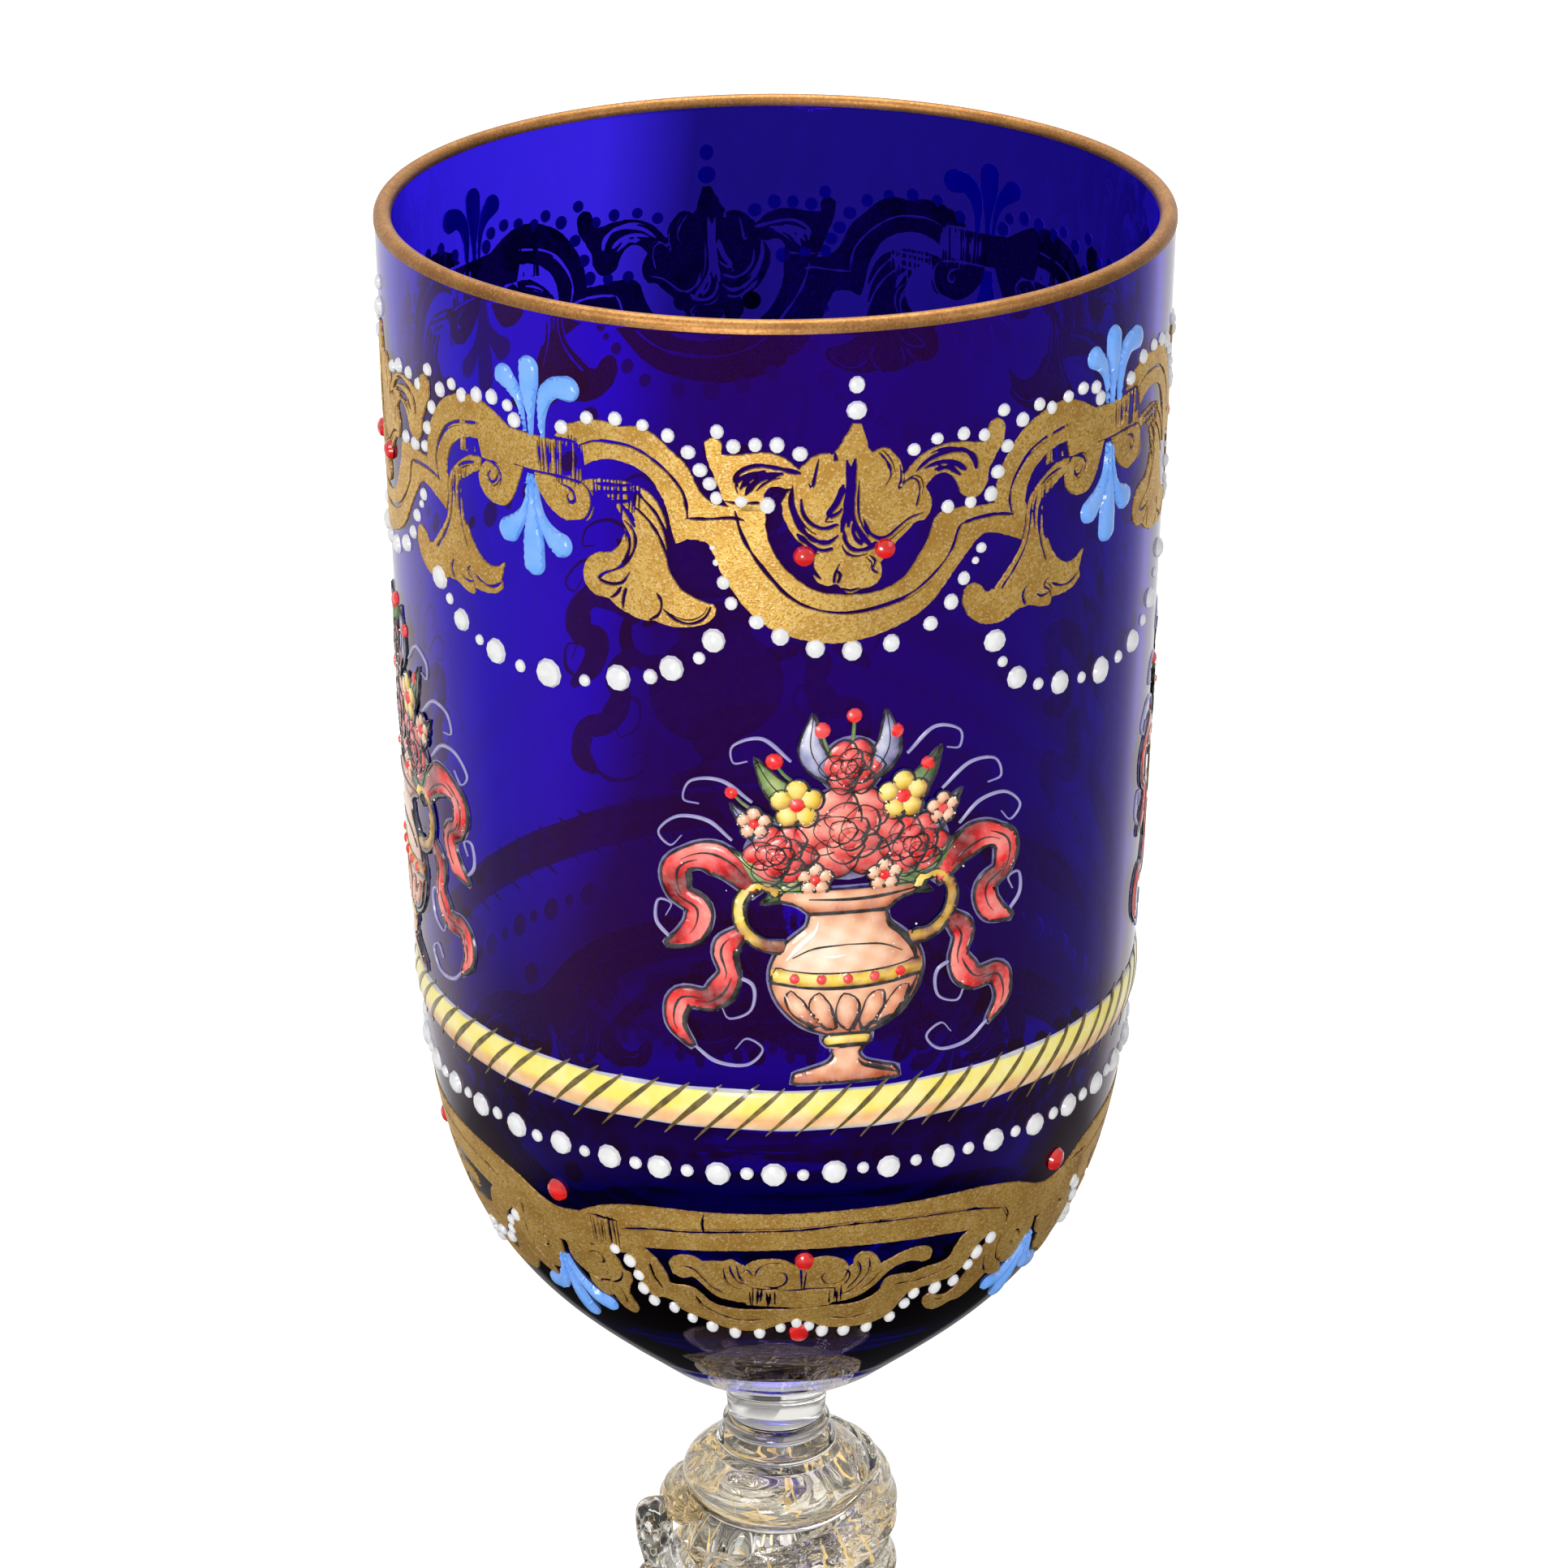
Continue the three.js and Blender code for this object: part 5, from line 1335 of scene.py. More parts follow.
class GOBLET_OT_pearls_and_jewels(bpy.types.Operator):
    """Set the white pearls and red jewels: drops of enamel along the gilding, the swags and the bands"""

    bl_idname = "goblet.pearls_and_jewels"
    bl_label = "Pearls and jewels"

    def execute(self, context):
        rise, large = settings().enamel_rise / MM, settings().pearl / MM
        generator = random.Random(5)
        pearls = [(x, y, UPPER_PEARL) for x, y in UPPER_STRING] + STRAP_STRING + CROWN_PEARLS
        pearls += [(x, y, LOWER_PEARL) for x, y in LOWER_STRING]
        strings = []
        for swag in (SWAG_DEEP, SWAG_FLAT):
            relief = Relief()
            for x, y, radius in pearls + swag:
                radius = jittered(generator, radius * large / DRAWN_PEARL, 0.11)
                height = min(rise * 1.2, radius * 0.62)
                relief.bead(x, y, radius, height, jittered(generator, 1.04, 0.1))
            for i in range(BAND_PEARLS):
                x = DRAWN_REPEAT * (i / BAND_PEARLS - 0.5) + generator.uniform(-0.25, 0.25)
                y = PEARL_BAND + generator.uniform(-0.15, 0.15)
                relief.bead(x, y, jittered(generator, large * 1.05, 0.06), rise * 1.2)
                small = jittered(generator, large * 0.55, 0.1)
                x += DRAWN_REPEAT / BAND_PEARLS / 2
                relief.bead(x, y + generator.uniform(-0.2, 0.2), small, rise * 0.75)
            strings.append(relief)
        laid_round(strings, "pearls", ["pearl_enamel"], "blue_enamel")
        jewels = Relief()
        for x, y, radius in [*CROWN_JEWELS, *LOWER_JEWELS]:
            jewels.bead(x, y, radius, rise * 1.3, lift=0.1, segments=14)
        laid_round(jewels, "jewels", ["jewel_enamel"], "painted_enamel")
        return {"FINISHED"}


class GOBLET_OT_rope_band(bpy.types.Operator):
    """Lay the rope band: a raised enamel cord round the bowl, crossed by slanting strokes"""

    bl_idname = "goblet.rope_band"
    bl_label = "Rope band"

    def execute(self, context):
        rise = settings().enamel_rise / MM
        girth = math.tau * DRAWN_RADIUS
        generator = random.Random(7)

        def arch(share):
            """How high the cord stands at that share of its width."""
            return rise * 0.8 * math.sin(math.pi * share) ** 0.5

        def ground(drop):
            return arch(min(1, max(0, (drop - ROPE_TOP) / ROPE_WIDTH)))

        spots = []
        for i in range(ROPE_COLUMNS):
            turn = math.tau * i / ROPE_COLUMNS
            wave = 0.08 * math.sin(7 * turn) + 0.05 * math.sin(23 * turn + 1)
            for j in range(ROPE_ROWS + 1):
                share = j / ROPE_ROWS
                lift = Relief.SUNK if j in (0, ROPE_ROWS) else arch(share)
                spots.append((girth * i / ROPE_COLUMNS, ROPE_TOP + ROPE_WIDTH * share + wave, lift))
        relief = Relief()
        relief.add([*on_wall(*zip(*spots))], tube(ROPE_COLUMNS, ROPE_ROWS + 1, joined=True), 0)
        for i in range(ROPE_STRANDS):
            x = girth * (i - 0.5) / ROPE_STRANDS + generator.uniform(-0.35, 0.35)
            above, below = generator.uniform(0.2, 1.0), generator.uniform(0.2, 1.1)
            swell = generator.uniform(0.85, 1.2)
            middle = (ROPE_TOP + ROPE_BOTTOM) / 2
            spine = [(x + ROPE_SLANT * share, middle - ROPE_SLANT * share + ROPE_BOW * share * share)
                     for share in (-0.85 - below / 3, -0.5, 0, 0.5, 0.85 + above / 3)]
            widths = [0.1, *[width * swell for width in (0.34, 0.46, 0.6, 0.5)], 0.12]
            relief.draped(spine, widths, rise=0.05, ground=ground)
        piece = relief.piece("rope_cord", ["rope_paint", "rope_stroke"], degrees=50)
        clad(piece, None, "rope_enamel", "rope_band")
        return {"FINISHED"}


def blended(tone, shades):
    """Goes from the deep shade through the body colour to the pale one as the tone goes from 0 to 1."""
    pale, body, deep = (np.array(shade[:3]) for shade in shades)
    tone = np.clip(tone, 0, 1)[:, None]
    return np.where(tone < 0.5, deep + (body - deep) * tone * 2, body + (pale - body) * (tone * 2 - 1))


def lit(shades):
    """Paint lit from the upper left, a little streaky, with its shade at the lower right and the edge."""
    def paint(xy, far):
        low, high = xy.min(axis=0), xy.max(axis=0)
        place = (xy - low) / np.maximum(high - low, 1e-6)
        depth = max(min(high - low) * 0.22, 0.3)
        rim = (1 - np.clip(far / depth, 0, 1)) ** 2
        streaks = 0.09 * np.sin(xy @ (2.3, 1.1)) + 0.07 * np.sin(xy @ (-1.9, 3.1) + 1)
        tone = 0.98 - np.hypot(place[:, 0] - 0.32, place[:, 1] - 0.3) * 1.2
        return blended(tone + streaks - 0.3 * rim, shades)
    return paint


def draped_paint(spine, halves, folds, phase, shades):
    """Paint for a ribbon: folds follow one another along it and the light falls on one side of each."""
    places = np.array([(p.x, p.y) for p in spine])
    tangents = np.gradient(places, axis=0)
    tangents /= np.linalg.norm(tangents, axis=1)[:, None]

    def paint(xy, far):
        gaps = xy[:, None, :] - places[None]
        near = np.linalg.norm(gaps, axis=2).argmin(axis=1)
        gap = xy - places[near]
        side = (tangents[near, 0] * gap[:, 1] - tangents[near, 1] * gap[:, 0]) / np.maximum(halves[near], 0.1)
        along = near / (len(places) - 1)
        fold = 0.5 + 0.5 * np.cos(math.tau * (folds * along + phase))
        tone = 0.1 + 0.75 * fold - 0.3 * side * np.cos(math.pi * (folds * along + phase))
        return blended(tone, shades)
    return paint


def grown(shape, reach):
    """The same closed outline, pushed outwards."""
    sign = 1 if goes_left(shape) else -1
    made = []
    for i, here in enumerate(shape):
        along = (shape[(i + 1) % len(shape)] - shape[i - 1]).normalized()
        made.append(here + Vector((along.y, -along.x)) * reach * sign)
    return made


class PaintedScene:
    """Lays painted shapes with inked outlines, given from the scene's middle and up from the rope band."""

    def __init__(self, rise):
        self.relief = Relief()
        self.rise = rise
        self.generator = random.Random(41)
        self.painted = []

    def at(self, points):
        return [(SCENE_MIDDLE + x * SCENE_SCALE, SCENE_FOOT - y * SCENE_SCALE) for x, y in points]

    def halo(self, shape, reach=0.34):
        self.relief.sheet([grown(shape, reach)], rise=0.04, grid=2,
                          paint=lambda xy, far: np.tile(HALO[:3], (len(xy), 1)))

    def inked(self, shape, lift, weight=1.0):
        """An outline brushed round the shape: thin towards the light, heavy away from it."""
        edge = shape[::2] + shape[:1]
        turn = 1 if goes_left(shape) else -1
        widths = []
        for before, here in zip(edge, edge[1:]):
            along = (here - before).normalized() * turn
            away = max(0.0, along.y * 0.7 - along.x * 0.7)
            widths.append(weight * (0.22 + 0.48 * away + self.generator.uniform(-0.06, 0.12)))
        self.relief.stroke(edge, [*widths, widths[0]], rise=0.14, kind=1, lift=lift)

    def fill(self, shape, shades, lift, dome=0.5, weight=1.0):
        paint = shades if callable(shades) else lit(shades)
        self.relief.sheet([shape], self.rise, grid=0.6, dome=dome, lift=lift, paint=paint)
        self.inked(shape, lift, weight)
        self.painted.append((shape, lift))

    def outlined(self, runs, shades, lift, dome=0.5):
        shape = outline(*[self.at(run) for run in runs], step=0.55)
        self.halo(shape)
        self.fill(shape, shades, lift, dome)

    def brushed(self, points, widths, shades, lift, dome=0.5):
        self.fill(brush(self.at(points), widths, 0.5), shades, lift, dome)

    def ribbon(self, points, widths, folds, phase, lift):
        """A waving ribbon: folded paint, an inked outline and inked creases."""
        spine = smooth(self.at(points), 0.5)
        reach = np.linspace(0, len(widths) - 1, len(spine))
        halves = np.interp(reach, range(len(widths)), widths) / 2
        shape = brush(self.at(points), widths, 0.5)
        self.halo(shape)
        paint = draped_paint(spine, halves, folds, phase, RED)
        self.fill(shape, paint, lift, dome=0.6, weight=1.15)
        size = len(spine)
        for start, end, side in ((0.1, 0.42, 0.35), (0.34, 0.62, -0.4), (0.55, 0.9, 0.3)):
            crease = []
            for i in range(int(start * size), int(end * size), 2):
                along = (spine[min(i + 1, size - 1)] - spine[max(i - 1, 0)]).normalized()
                across = Vector((-along.y, along.x))
                crease.append(spine[i] + across * halves[i] * side * (1 - i / size))
            widths = [0.08, 0.34, 0.42, 0.2, 0.06]
            self.relief.stroke(crease, widths, rise=0.1, kind=1, lift=lift + self.rise * 0.8)

    def line(self, points, widths, lift):
        self.relief.stroke(self.at(points), widths, self.rise * 0.6, kind=1, lift=lift)

    def thread(self, points, widths, colour, lift):
        self.relief.stroke(self.at(points), widths, self.rise * 0.7, kind=0, lift=lift,
                           paint=colour[:3], step=0.4)

    def both_sides(self, action, points, *rest, **named):
        action(points, *rest, **named)
        action(mirrored(points), *rest, **named)

    def rose(self, x, y, radius, shades):
        """Petals laid in three rounds, each on top of the one before."""
        place = Vector(self.at([(x, y)])[0])
        self.halo([place + Vector((math.cos(t), math.sin(t))) * radius * 1.08
                   for t in (math.tau * i / 24 for i in range(24))], reach=0.25)
        for level, (petals, out, size) in enumerate([(6, 0.62, 0.52), (5, 0.36, 0.4), (3, 0.15, 0.3)]):
            for petal in range(petals):
                turn = math.tau * (petal + self.generator.uniform(-0.12, 0.12)) / petals + level * 0.7
                spot = place + Vector((math.cos(turn), math.sin(turn))) * radius * out
                shape = []
                for t in (math.tau * i / 16 for i in range(16)):
                    wave = 1 + 0.08 * math.cos(3 * t + petal)
                    shape.append(spot + Vector((math.cos(t), math.sin(t) * 0.9)) * radius * size * wave)
                self.relief.sheet([shape], self.rise, grid=0.5, dome=radius * size * 0.8,
                                  lift=0.1 + 0.07 * level, paint=lit(shades))
                self.inked(shape, 0.2 + 0.07 * level, 0.6)
        self.painted.append(([place + Vector((math.cos(t), math.sin(t))) * radius for t in range(6)], 0.25))

    def blossom(self, x, y, radius, shades):
        place = self.at([(x, y)])[0]
        for petal in range(5):
            turn = math.tau * petal / 5 - math.pi / 2
            spot = (place[0] + radius * 0.58 * math.cos(turn), place[1] + radius * 0.58 * math.sin(turn))
            petal_edge = ring(*spot, radius * 0.46)
            self.fill(petal_edge, shades, lift=0.16, dome=radius * 0.3, weight=0.75)
        self.relief.bead(*place, radius * 0.3, rise=0.3, lift=0.3, paint=RED[1][:3])

    def specks(self, number):
        """Tiny grains of white that stick to the wet paint."""
        for _ in range(number):
            shape, lift = self.generator.choice(self.painted)
            middle = sum(shape, Vector((0, 0))) / len(shape)
            spot = self.generator.choice(shape).lerp(middle, self.generator.uniform(0.05, 0.4))
            self.relief.bead(*spot, self.generator.uniform(0.06, 0.12), rise=0.1,
                             lift=lift + self.rise * 0.9, segments=6, paint=WHITE[:3])


class GOBLET_OT_flower_urns(bpy.types.Operator):
    """Paint the four scenes: a footed urn of flowers, with ribbons flying from its handles"""

    bl_idname = "goblet.flower_urns"
    bl_label = "Flower urns"

    def execute(self, context):
        scene = PaintedScene(settings().paint_rise / MM)
        for points, colour in LEAVES:
            widths = [0.3, 2.2, 2.7, 1.6, 0.2]
            scene.both_sides(scene.brushed, points, widths, colour, lift=0.05, dome=0.7)
            scene.both_sides(scene.line, points, [0.1, 0.24, 0.1], lift=0.18)
        for points in TENDRILS:
            widths = [0.34, 0.5, 0.42, 0.32, 0.22, 0.14]
            scene.both_sides(scene.thread, points, widths, LILAC, lift=0)
        for (points, widths), folds, phase in ((RIBBON_UPPER, 2.2, 0.1), (RIBBON_LOWER, 1.9, 0.35)):
            scene.ribbon(points, widths, folds, phase, lift=0.08)
            scene.ribbon(mirrored(points), widths, folds, phase + 0.2, lift=0.08)
        scene.outlined(URN_FOOT, PEACH, lift=0.08, dome=0.8)
        scene.outlined(URN_BODY, CREAM, lift=0.08, dome=2.2)
        scene.outlined(URN_KNOP, YELLOW, lift=0.14)
        scene.outlined(URN_LIP, PEACH, lift=0.14)
        scene.outlined(URN_BELT, YELLOW, lift=0.22)
        for points, widths in URN_GADROONS[1:]:
            scene.both_sides(scene.brushed, points, widths, PEACH, lift=0.22)
        scene.brushed(*URN_GADROONS[0], PEACH, lift=0.22)
        scene.both_sides(scene.brushed, *URN_HANDLE, YELLOW, lift=0.14)
        for spot in scene.at([(x, 12.05 + 0.01 * x * x) for x in (-5.4, -2.7, 0, 2.7, 5.4)]):
            scene.relief.bead(*spot, radius=0.55, rise=0.3, lift=0.4, paint=RED[1][:3])
        scene.both_sides(scene.line, [(5.6, 14.6), (3.4, 15.6), (0, 15.9)], [0.1, 0.3, 0.1], lift=0.26)
        for points, widths, lift in URN_SHADE_LINES:
            scene.line(points, widths, lift)
        for points, widths, lift in URN_LIGHT_LINES:
            scene.thread(points, widths, WHITE, lift)
        for flower in BLOSSOMS:
            scene.blossom(*flower)
        for flower in ROSES:
            scene.rose(*flower)
        for x, y, radius in BUDS:
            stalk = [(x * 0.5, y - 3.6), (x * 0.85, y - 1.6), (x, y)]
            scene.thread(stalk, [0.3, 0.4, 0.3], LEAF[1], lift=0.05)
            scene.relief.bead(*scene.at([(x, y)])[0], radius, rise=0.4, paint=RED[1][:3])
        scene.specks(number=90)
        laid_round(scene.relief, "painted_flower_urn", ["scene_paint", "line_enamel"], "painted_enamel",
                   "flower_urn")
        return {"FINISHED"}


# Making the stem and foot


NECK_RADIUS = 5.6 * MM
CORE_RADIUS = 5.5 * MM
KNOP_SEAT = 8.5 * MM
BALUSTER_FOOT = 4.2 * MM
FOOT_TOP_RADIUS = 6 * MM
RIBBED_RADIUS = 11.2 * MM
RIB_DEPTH = 0.5 * MM

# Turned knops: the span in height, the widest radius, the radii of both seats and the steps between them
CORE = (top_of("core_ring"), top_of("core_ring") + 30 * MM, 5.8 * MM, CORE_RADIUS, CORE_RADIUS, 20)
RIBBED_SPAN = (CORE[1], CORE[1] + 11.3 * MM)
RIBBED = (*RIBBED_SPAN, RIBBED_RADIUS, CORE_RADIUS, KNOP_SEAT, 32)
RIBBED_INSIDE = (*RIBBED_SPAN, RIBBED_RADIUS - RIB_DEPTH, CORE_RADIUS, KNOP_SEAT, 32)
SHOULDER = (RIBBED_SPAN[1], RIBBED_SPAN[1] + 6.7 * MM, 10.5 * MM, KNOP_SEAT, 7.3 * MM, 32)
BALUSTER = (bottom_of("baluster"), top_of("baluster"), 9.6 * MM, BALUSTER_FOOT, CORE_RADIUS, 24)

CANE_RADIUS = 3.6 * MM
CANE_PATH = 13.7 * MM - CANE_RADIUS
CANE_PITCH = 17 * MM
CANE_TURNS = 2.25
CANE_TOP = SHOULDER[0] + 3.6 * MM

# The bearing in degrees and the height at which each cane starts
CANE_STARTS = {"right": (95, CANE_TOP), "left": (215, CANE_TOP - CANE_PITCH * (0.5 - 120 / 360))}
CANE_FLUTE = 0.45 * MM
CANE_TWIST = 2.6

CREST_REACH, CREST_WIDTH, CREST_HALF = 15.9 * MM, 4.2 * MM, 1.6 * MM
CREST_NIPS, CREST_NIP_DEPTH, CREST_END = 4, 1.1 * MM, 1.6 * MM
LEAF_THICKNESS = 0.03 * MM
FOOT_EDGE, HOLLOW_HEIGHT, HOLLOW_INSET = 1.7, 2.6, 6


def knop_profile(low, high, radius, lower_seat, upper_seat, steps=24):
    """A bulging profile between two flat seats, closed on the axis."""
    middle, half = (low + high) / 2, (high - low) / 2
    start, end = -math.acos(lower_seat / radius), math.acos(upper_seat / radius)
    points = [(0, low - SEAM_OVERLAP), (lower_seat, low - SEAM_OVERLAP)]
    for i in range(steps + 1):
        angle = start + (end - start) * i / steps
        reach = math.sin(-start) if angle < 0 else math.sin(end)
        points.append((radius * math.cos(angle), middle + half * math.sin(angle) / reach))
    return points + [(upper_seat, high + SEAM_OVERLAP), (0, high + SEAM_OVERLAP)]


def clear_turning(name, node_name, profile, segments=128):
    clad(turned(name, profile, segments), "crystal", "clear_glass", node_name)


def flecked(piece, node_name):
    clad(piece, "flecked_glass", "gold_flecked_glass", node_name)


def drawn_out(name, node_name, points, sides, degrees):
    """A closed rod of flecked glass through rings of points."""
    piece = new_piece(name, points, tube(len(points) // sides, sides, backwards=True))
    recalculate(piece)
    smooth_shade(piece, degrees)
    flecked(piece, node_name)


class GOBLET_OT_turned_stem(bpy.types.Operator):
    """Make the clear turned parts: the bowl's cap, the neck, the rings, the baluster and the collar"""

    bl_idname = "goblet.turned_stem"
    bl_label = "Clear stem parts"

    def execute(self, context):
        neck, low = NECK_RADIUS / MM, CAP_DROP + CAP_FLARE_HEIGHT
        top, end = BOTTOM_DROP + CAP_GAP, low + SEAM_OVERLAP / MM
        flank = [p for p in WALL if p.y > top][::2]
        flare_handle = (neck + 4, CAP_DROP + 0.7 * CAP_FLARE_HEIGHT)
        flare = bezier([(CAP_RADIUS, CAP_DROP), flare_handle, (neck, low)], steps=14)
        cap = [(0, top), (BOTTOM_RADIUS, top), *flank, *flare[1:], (neck, end), (0, end)]
        clear_turning("bowl_cap", "bowl_base_cap", from_rim(cap), segments=192)

        # Piece, node, widest radius and the radii of the lower and upper seats
        turnings = [
            ("neck_post", "stem_neck", NECK_RADIUS, NECK_RADIUS - 0.3 * MM, NECK_RADIUS - 0.1 * MM),
            ("upper_neck_ring", "neck_ring_1", 6.0 * MM, 4.8 * MM, 4.9 * MM),
            ("lower_neck_ring", "neck_ring_2", 6.7 * MM, 5.4 * MM, 4.8 * MM),
            ("core_foot_ring", "core_ring", 8.4 * MM, CORE_RADIUS, CORE_RADIUS),
            ("baluster_knop", "baluster", *BALUSTER[2:5]),
            ("baluster_foot_ring", "baluster_ring", 6.6 * MM, BALUSTER_FOOT, BALUSTER_FOOT),
            ("lower_knop", "base_knop", 6.6 * MM, BALUSTER_FOOT, BALUSTER_FOOT),
            ("collar_ring", "foot_collar", 8.5 * MM, FOOT_TOP_RADIUS, FOOT_TOP_RADIUS),
        ]
        for name, node_name, radius, lower, upper in turnings:
            profile = knop_profile(bottom_of(node_name), top_of(node_name), radius, lower, upper)
            clear_turning(name, node_name, profile)
        return {"FINISHED"}


class GOBLET_OT_knops(bpy.types.Operator):
    """Make the squashed shoulder knop, the ribbed knop with its gold leaf and the core of the stem"""

    bl_idname = "goblet.knops"
    bl_label = "Flecked knops"

    def execute(self, context):
        flecked(turned("flecked_shoulder_knop", knop_profile(*SHOULDER), segments=160), "shoulder_knop")
        ribs = settings().knop_ribs
        ball = turned("gold_leaf_knop", knop_profile(*RIBBED), segments=ribs * 16)
        for vertex in ball.data.vertices:
            radius = math.hypot(vertex.co.x, vertex.co.y)
            wave = math.cos(math.atan2(vertex.co.y, vertex.co.x) * ribs)
            depth = RIB_DEPTH * (1 - wave) * radius / (2 * RIBBED_RADIUS)
            share = (radius - depth) / radius if radius > 0 else 1
            vertex.co.x *= share
            vertex.co.y *= share
        flecked(ball, "ribbed_knop")
        flecked(turned("flecked_core", knop_profile(*CORE), segments=96), "stem_core")
        return {"FINISHED"}


def cane_frame(turns, start):
    """The cane's centre there, and the directions along it, outwards and across."""
    degrees, top = start
    angle = math.radians(degrees) - math.tau * turns
    c, s = CANE_PATH * math.cos(angle), CANE_PATH * math.sin(angle)
    centre = Vector((c, s, top - CANE_PITCH * turns))
    along = Vector((math.tau * s, -math.tau * c, -CANE_PITCH))
    along.normalize()
    outward = Vector((centre.x, centre.y, 0)).normalized()
    return centre, along, outward, outward.cross(along).normalized()


def cane_taper(turns):
    from_end = min(turns, CANE_TURNS - turns)
    return math.sin(math.pi / 2 * min(1, 0.08 + from_end / 0.18))


class GOBLET_OT_canes(bpy.types.Operator):
    """Wind the two fluted canes round the knop and the core"""

    bl_idname = "goblet.canes"
    bl_label = "Wound canes"

    def execute(self, context):
        flutes = settings().cane_flutes
        sides, steps = flutes * 6, 200
        for hand, start in CANE_STARTS.items():
            points = []
            for i in range(steps + 1):
                turns = CANE_TURNS * i / steps
                centre, _, outward, across = cane_frame(turns, start)
                for side in range(sides):
                    angle = math.tau * side / sides
                    flute = (1 - abs(math.cos(flutes / 2 * (angle + CANE_TWIST * turns * 2)))) * CANE_FLUTE
                    radius = (CANE_RADIUS - flute) * cane_taper(turns)
                    out = outward * radius * math.cos(angle)
                    points.append(centre + out + across * radius * math.sin(angle))
            drawn_out(f"fluted_cane_{hand}", f"winding_cane_{hand}", points, sides, degrees=60)
        return {"FINISHED"}


class GOBLET_OT_crest(bpy.types.Operator):
    """Pincer the crest: a ribbon of glass nipped at even steps down the left of the stem"""

    bl_idname = "goblet.crest"
    bl_label = "Pincered crest"

    def execute(self, context):
        low, high = bottom_of("pincered_crest"), top_of("pincered_crest")
        spacing = (high - low) / CREST_NIPS
        deep, proud = CREST_NIP_DEPTH, -CREST_NIP_DEPTH / 3
        edge = bezier([(deep, 0), (proud, 0), (proud, spacing / 2), (deep, spacing)], steps=40)
        edge_drops, edge_insets = [p.y for p in edge], [p.x for p in edge]
        rows, sides = 150, 28
        points = []
        for i in range(rows + 1):
            drop = (high - low) * i / rows
            phase = drop % spacing
            outer = CREST_REACH - float(np.interp(phase, edge_drops, edge_insets))
            inner = CREST_REACH - CREST_WIDTH
            from_end = min(1, max(0, min(drop, high - low - drop) / CREST_END))
            end = math.sqrt(1 - (1 - from_end) ** 2)
            pinch = 0.62 + 0.38 * math.sin(math.pi * phase / spacing) ** 0.8
            half = CREST_HALF * pinch * max(end, 0.15)
            middle, breadth = (outer + inner) / 2, (outer - inner) / 2 * max(end, 0.3)
            for side in range(sides):
                angle = math.tau * side / sides
                c, s = math.cos(angle), math.sin(angle)
                ruffle = 1 + 0.1 * math.sin(4 * angle + 16 * phase / spacing)
                ruffle -= 0.08 * math.cos(7 * angle - 13 * phase / spacing)
                out = middle + breadth * (0.93 + 0.07 * ruffle) * math.copysign(abs(c) ** 0.7, c)
                points.append((-out, half * ruffle * math.copysign(abs(s) ** 0.85, s), high - drop))
        drawn_out("nipped_crest", "pincered_crest", points, sides, degrees=50)
        return {"FINISHED"}


# The default finish is the darker leaf, with half the painted glow.
def flakes(name, seed, number, spot, longest, widest, kind="dim_gold_leaf"):
    """Flakes of gold leaf, each a thin closed lozenge of eight faces. The function spot gives a random
    place in the glass, the direction that the flake lies along and the direction square to it."""
    generator = random.Random(seed)
    points, faces = [], []
    for _ in range(number):
        place, along, outward = spot(generator)
        along = (along - outward * along.dot(outward)).normalized()
        across = outward.cross(along)
        tilt = generator.uniform(-0.35, 0.35)
        c, s = math.cos(tilt), math.sin(tilt)
        outward, across = outward * c + across * s, across * c - outward * s
        ahead = along * (longest * generator.uniform(0.2, 1.0) ** 1.5 / 2)
        half_width = widest * generator.uniform(0.3, 1.0) / 2
        up = outward * LEAF_THICKNESS / 2
        first = len(points)
        skew = across * half_width * generator.uniform(-0.6, 0.6)
        points += [place + ahead, place - ahead, place + across * half_width + skew,
                   place - across * half_width + skew, place + up, place - up]
        faces += [(first + a, first + b, first + c) for a in (0, 1) for b in (2, 3) for c in (4, 5)]
    piece = new_piece(name, points, faces)
    recalculate(piece)
    clad(piece, kind, "gilding")


def in_knop(knop, inner, outer, upright):
    """A place near the surface of a turned knop, with flakes lying upright or round it."""
    radii, heights = zip(*knop_profile(*knop))
    low, high = knop[:2]

    def spot(generator):
        z = low + (high - low) * generator.uniform(0.06, 0.94)
        radius = float(np.interp(z, heights, radii)) * generator.uniform(inner, outer)
        angle = generator.uniform(0, math.tau)
        outward = Vector((math.cos(angle), math.sin(angle), 0))
        round_it = Vector((-math.sin(angle), math.cos(angle), 0))
        lean = generator.gauss(0, 0.1)
        up = Vector((0, 0, 1))
        along = up + round_it * lean if upright else round_it + up * (lean - 0.2)
        return outward * radius + Vector((0, 0, z)), along, outward

    return spot


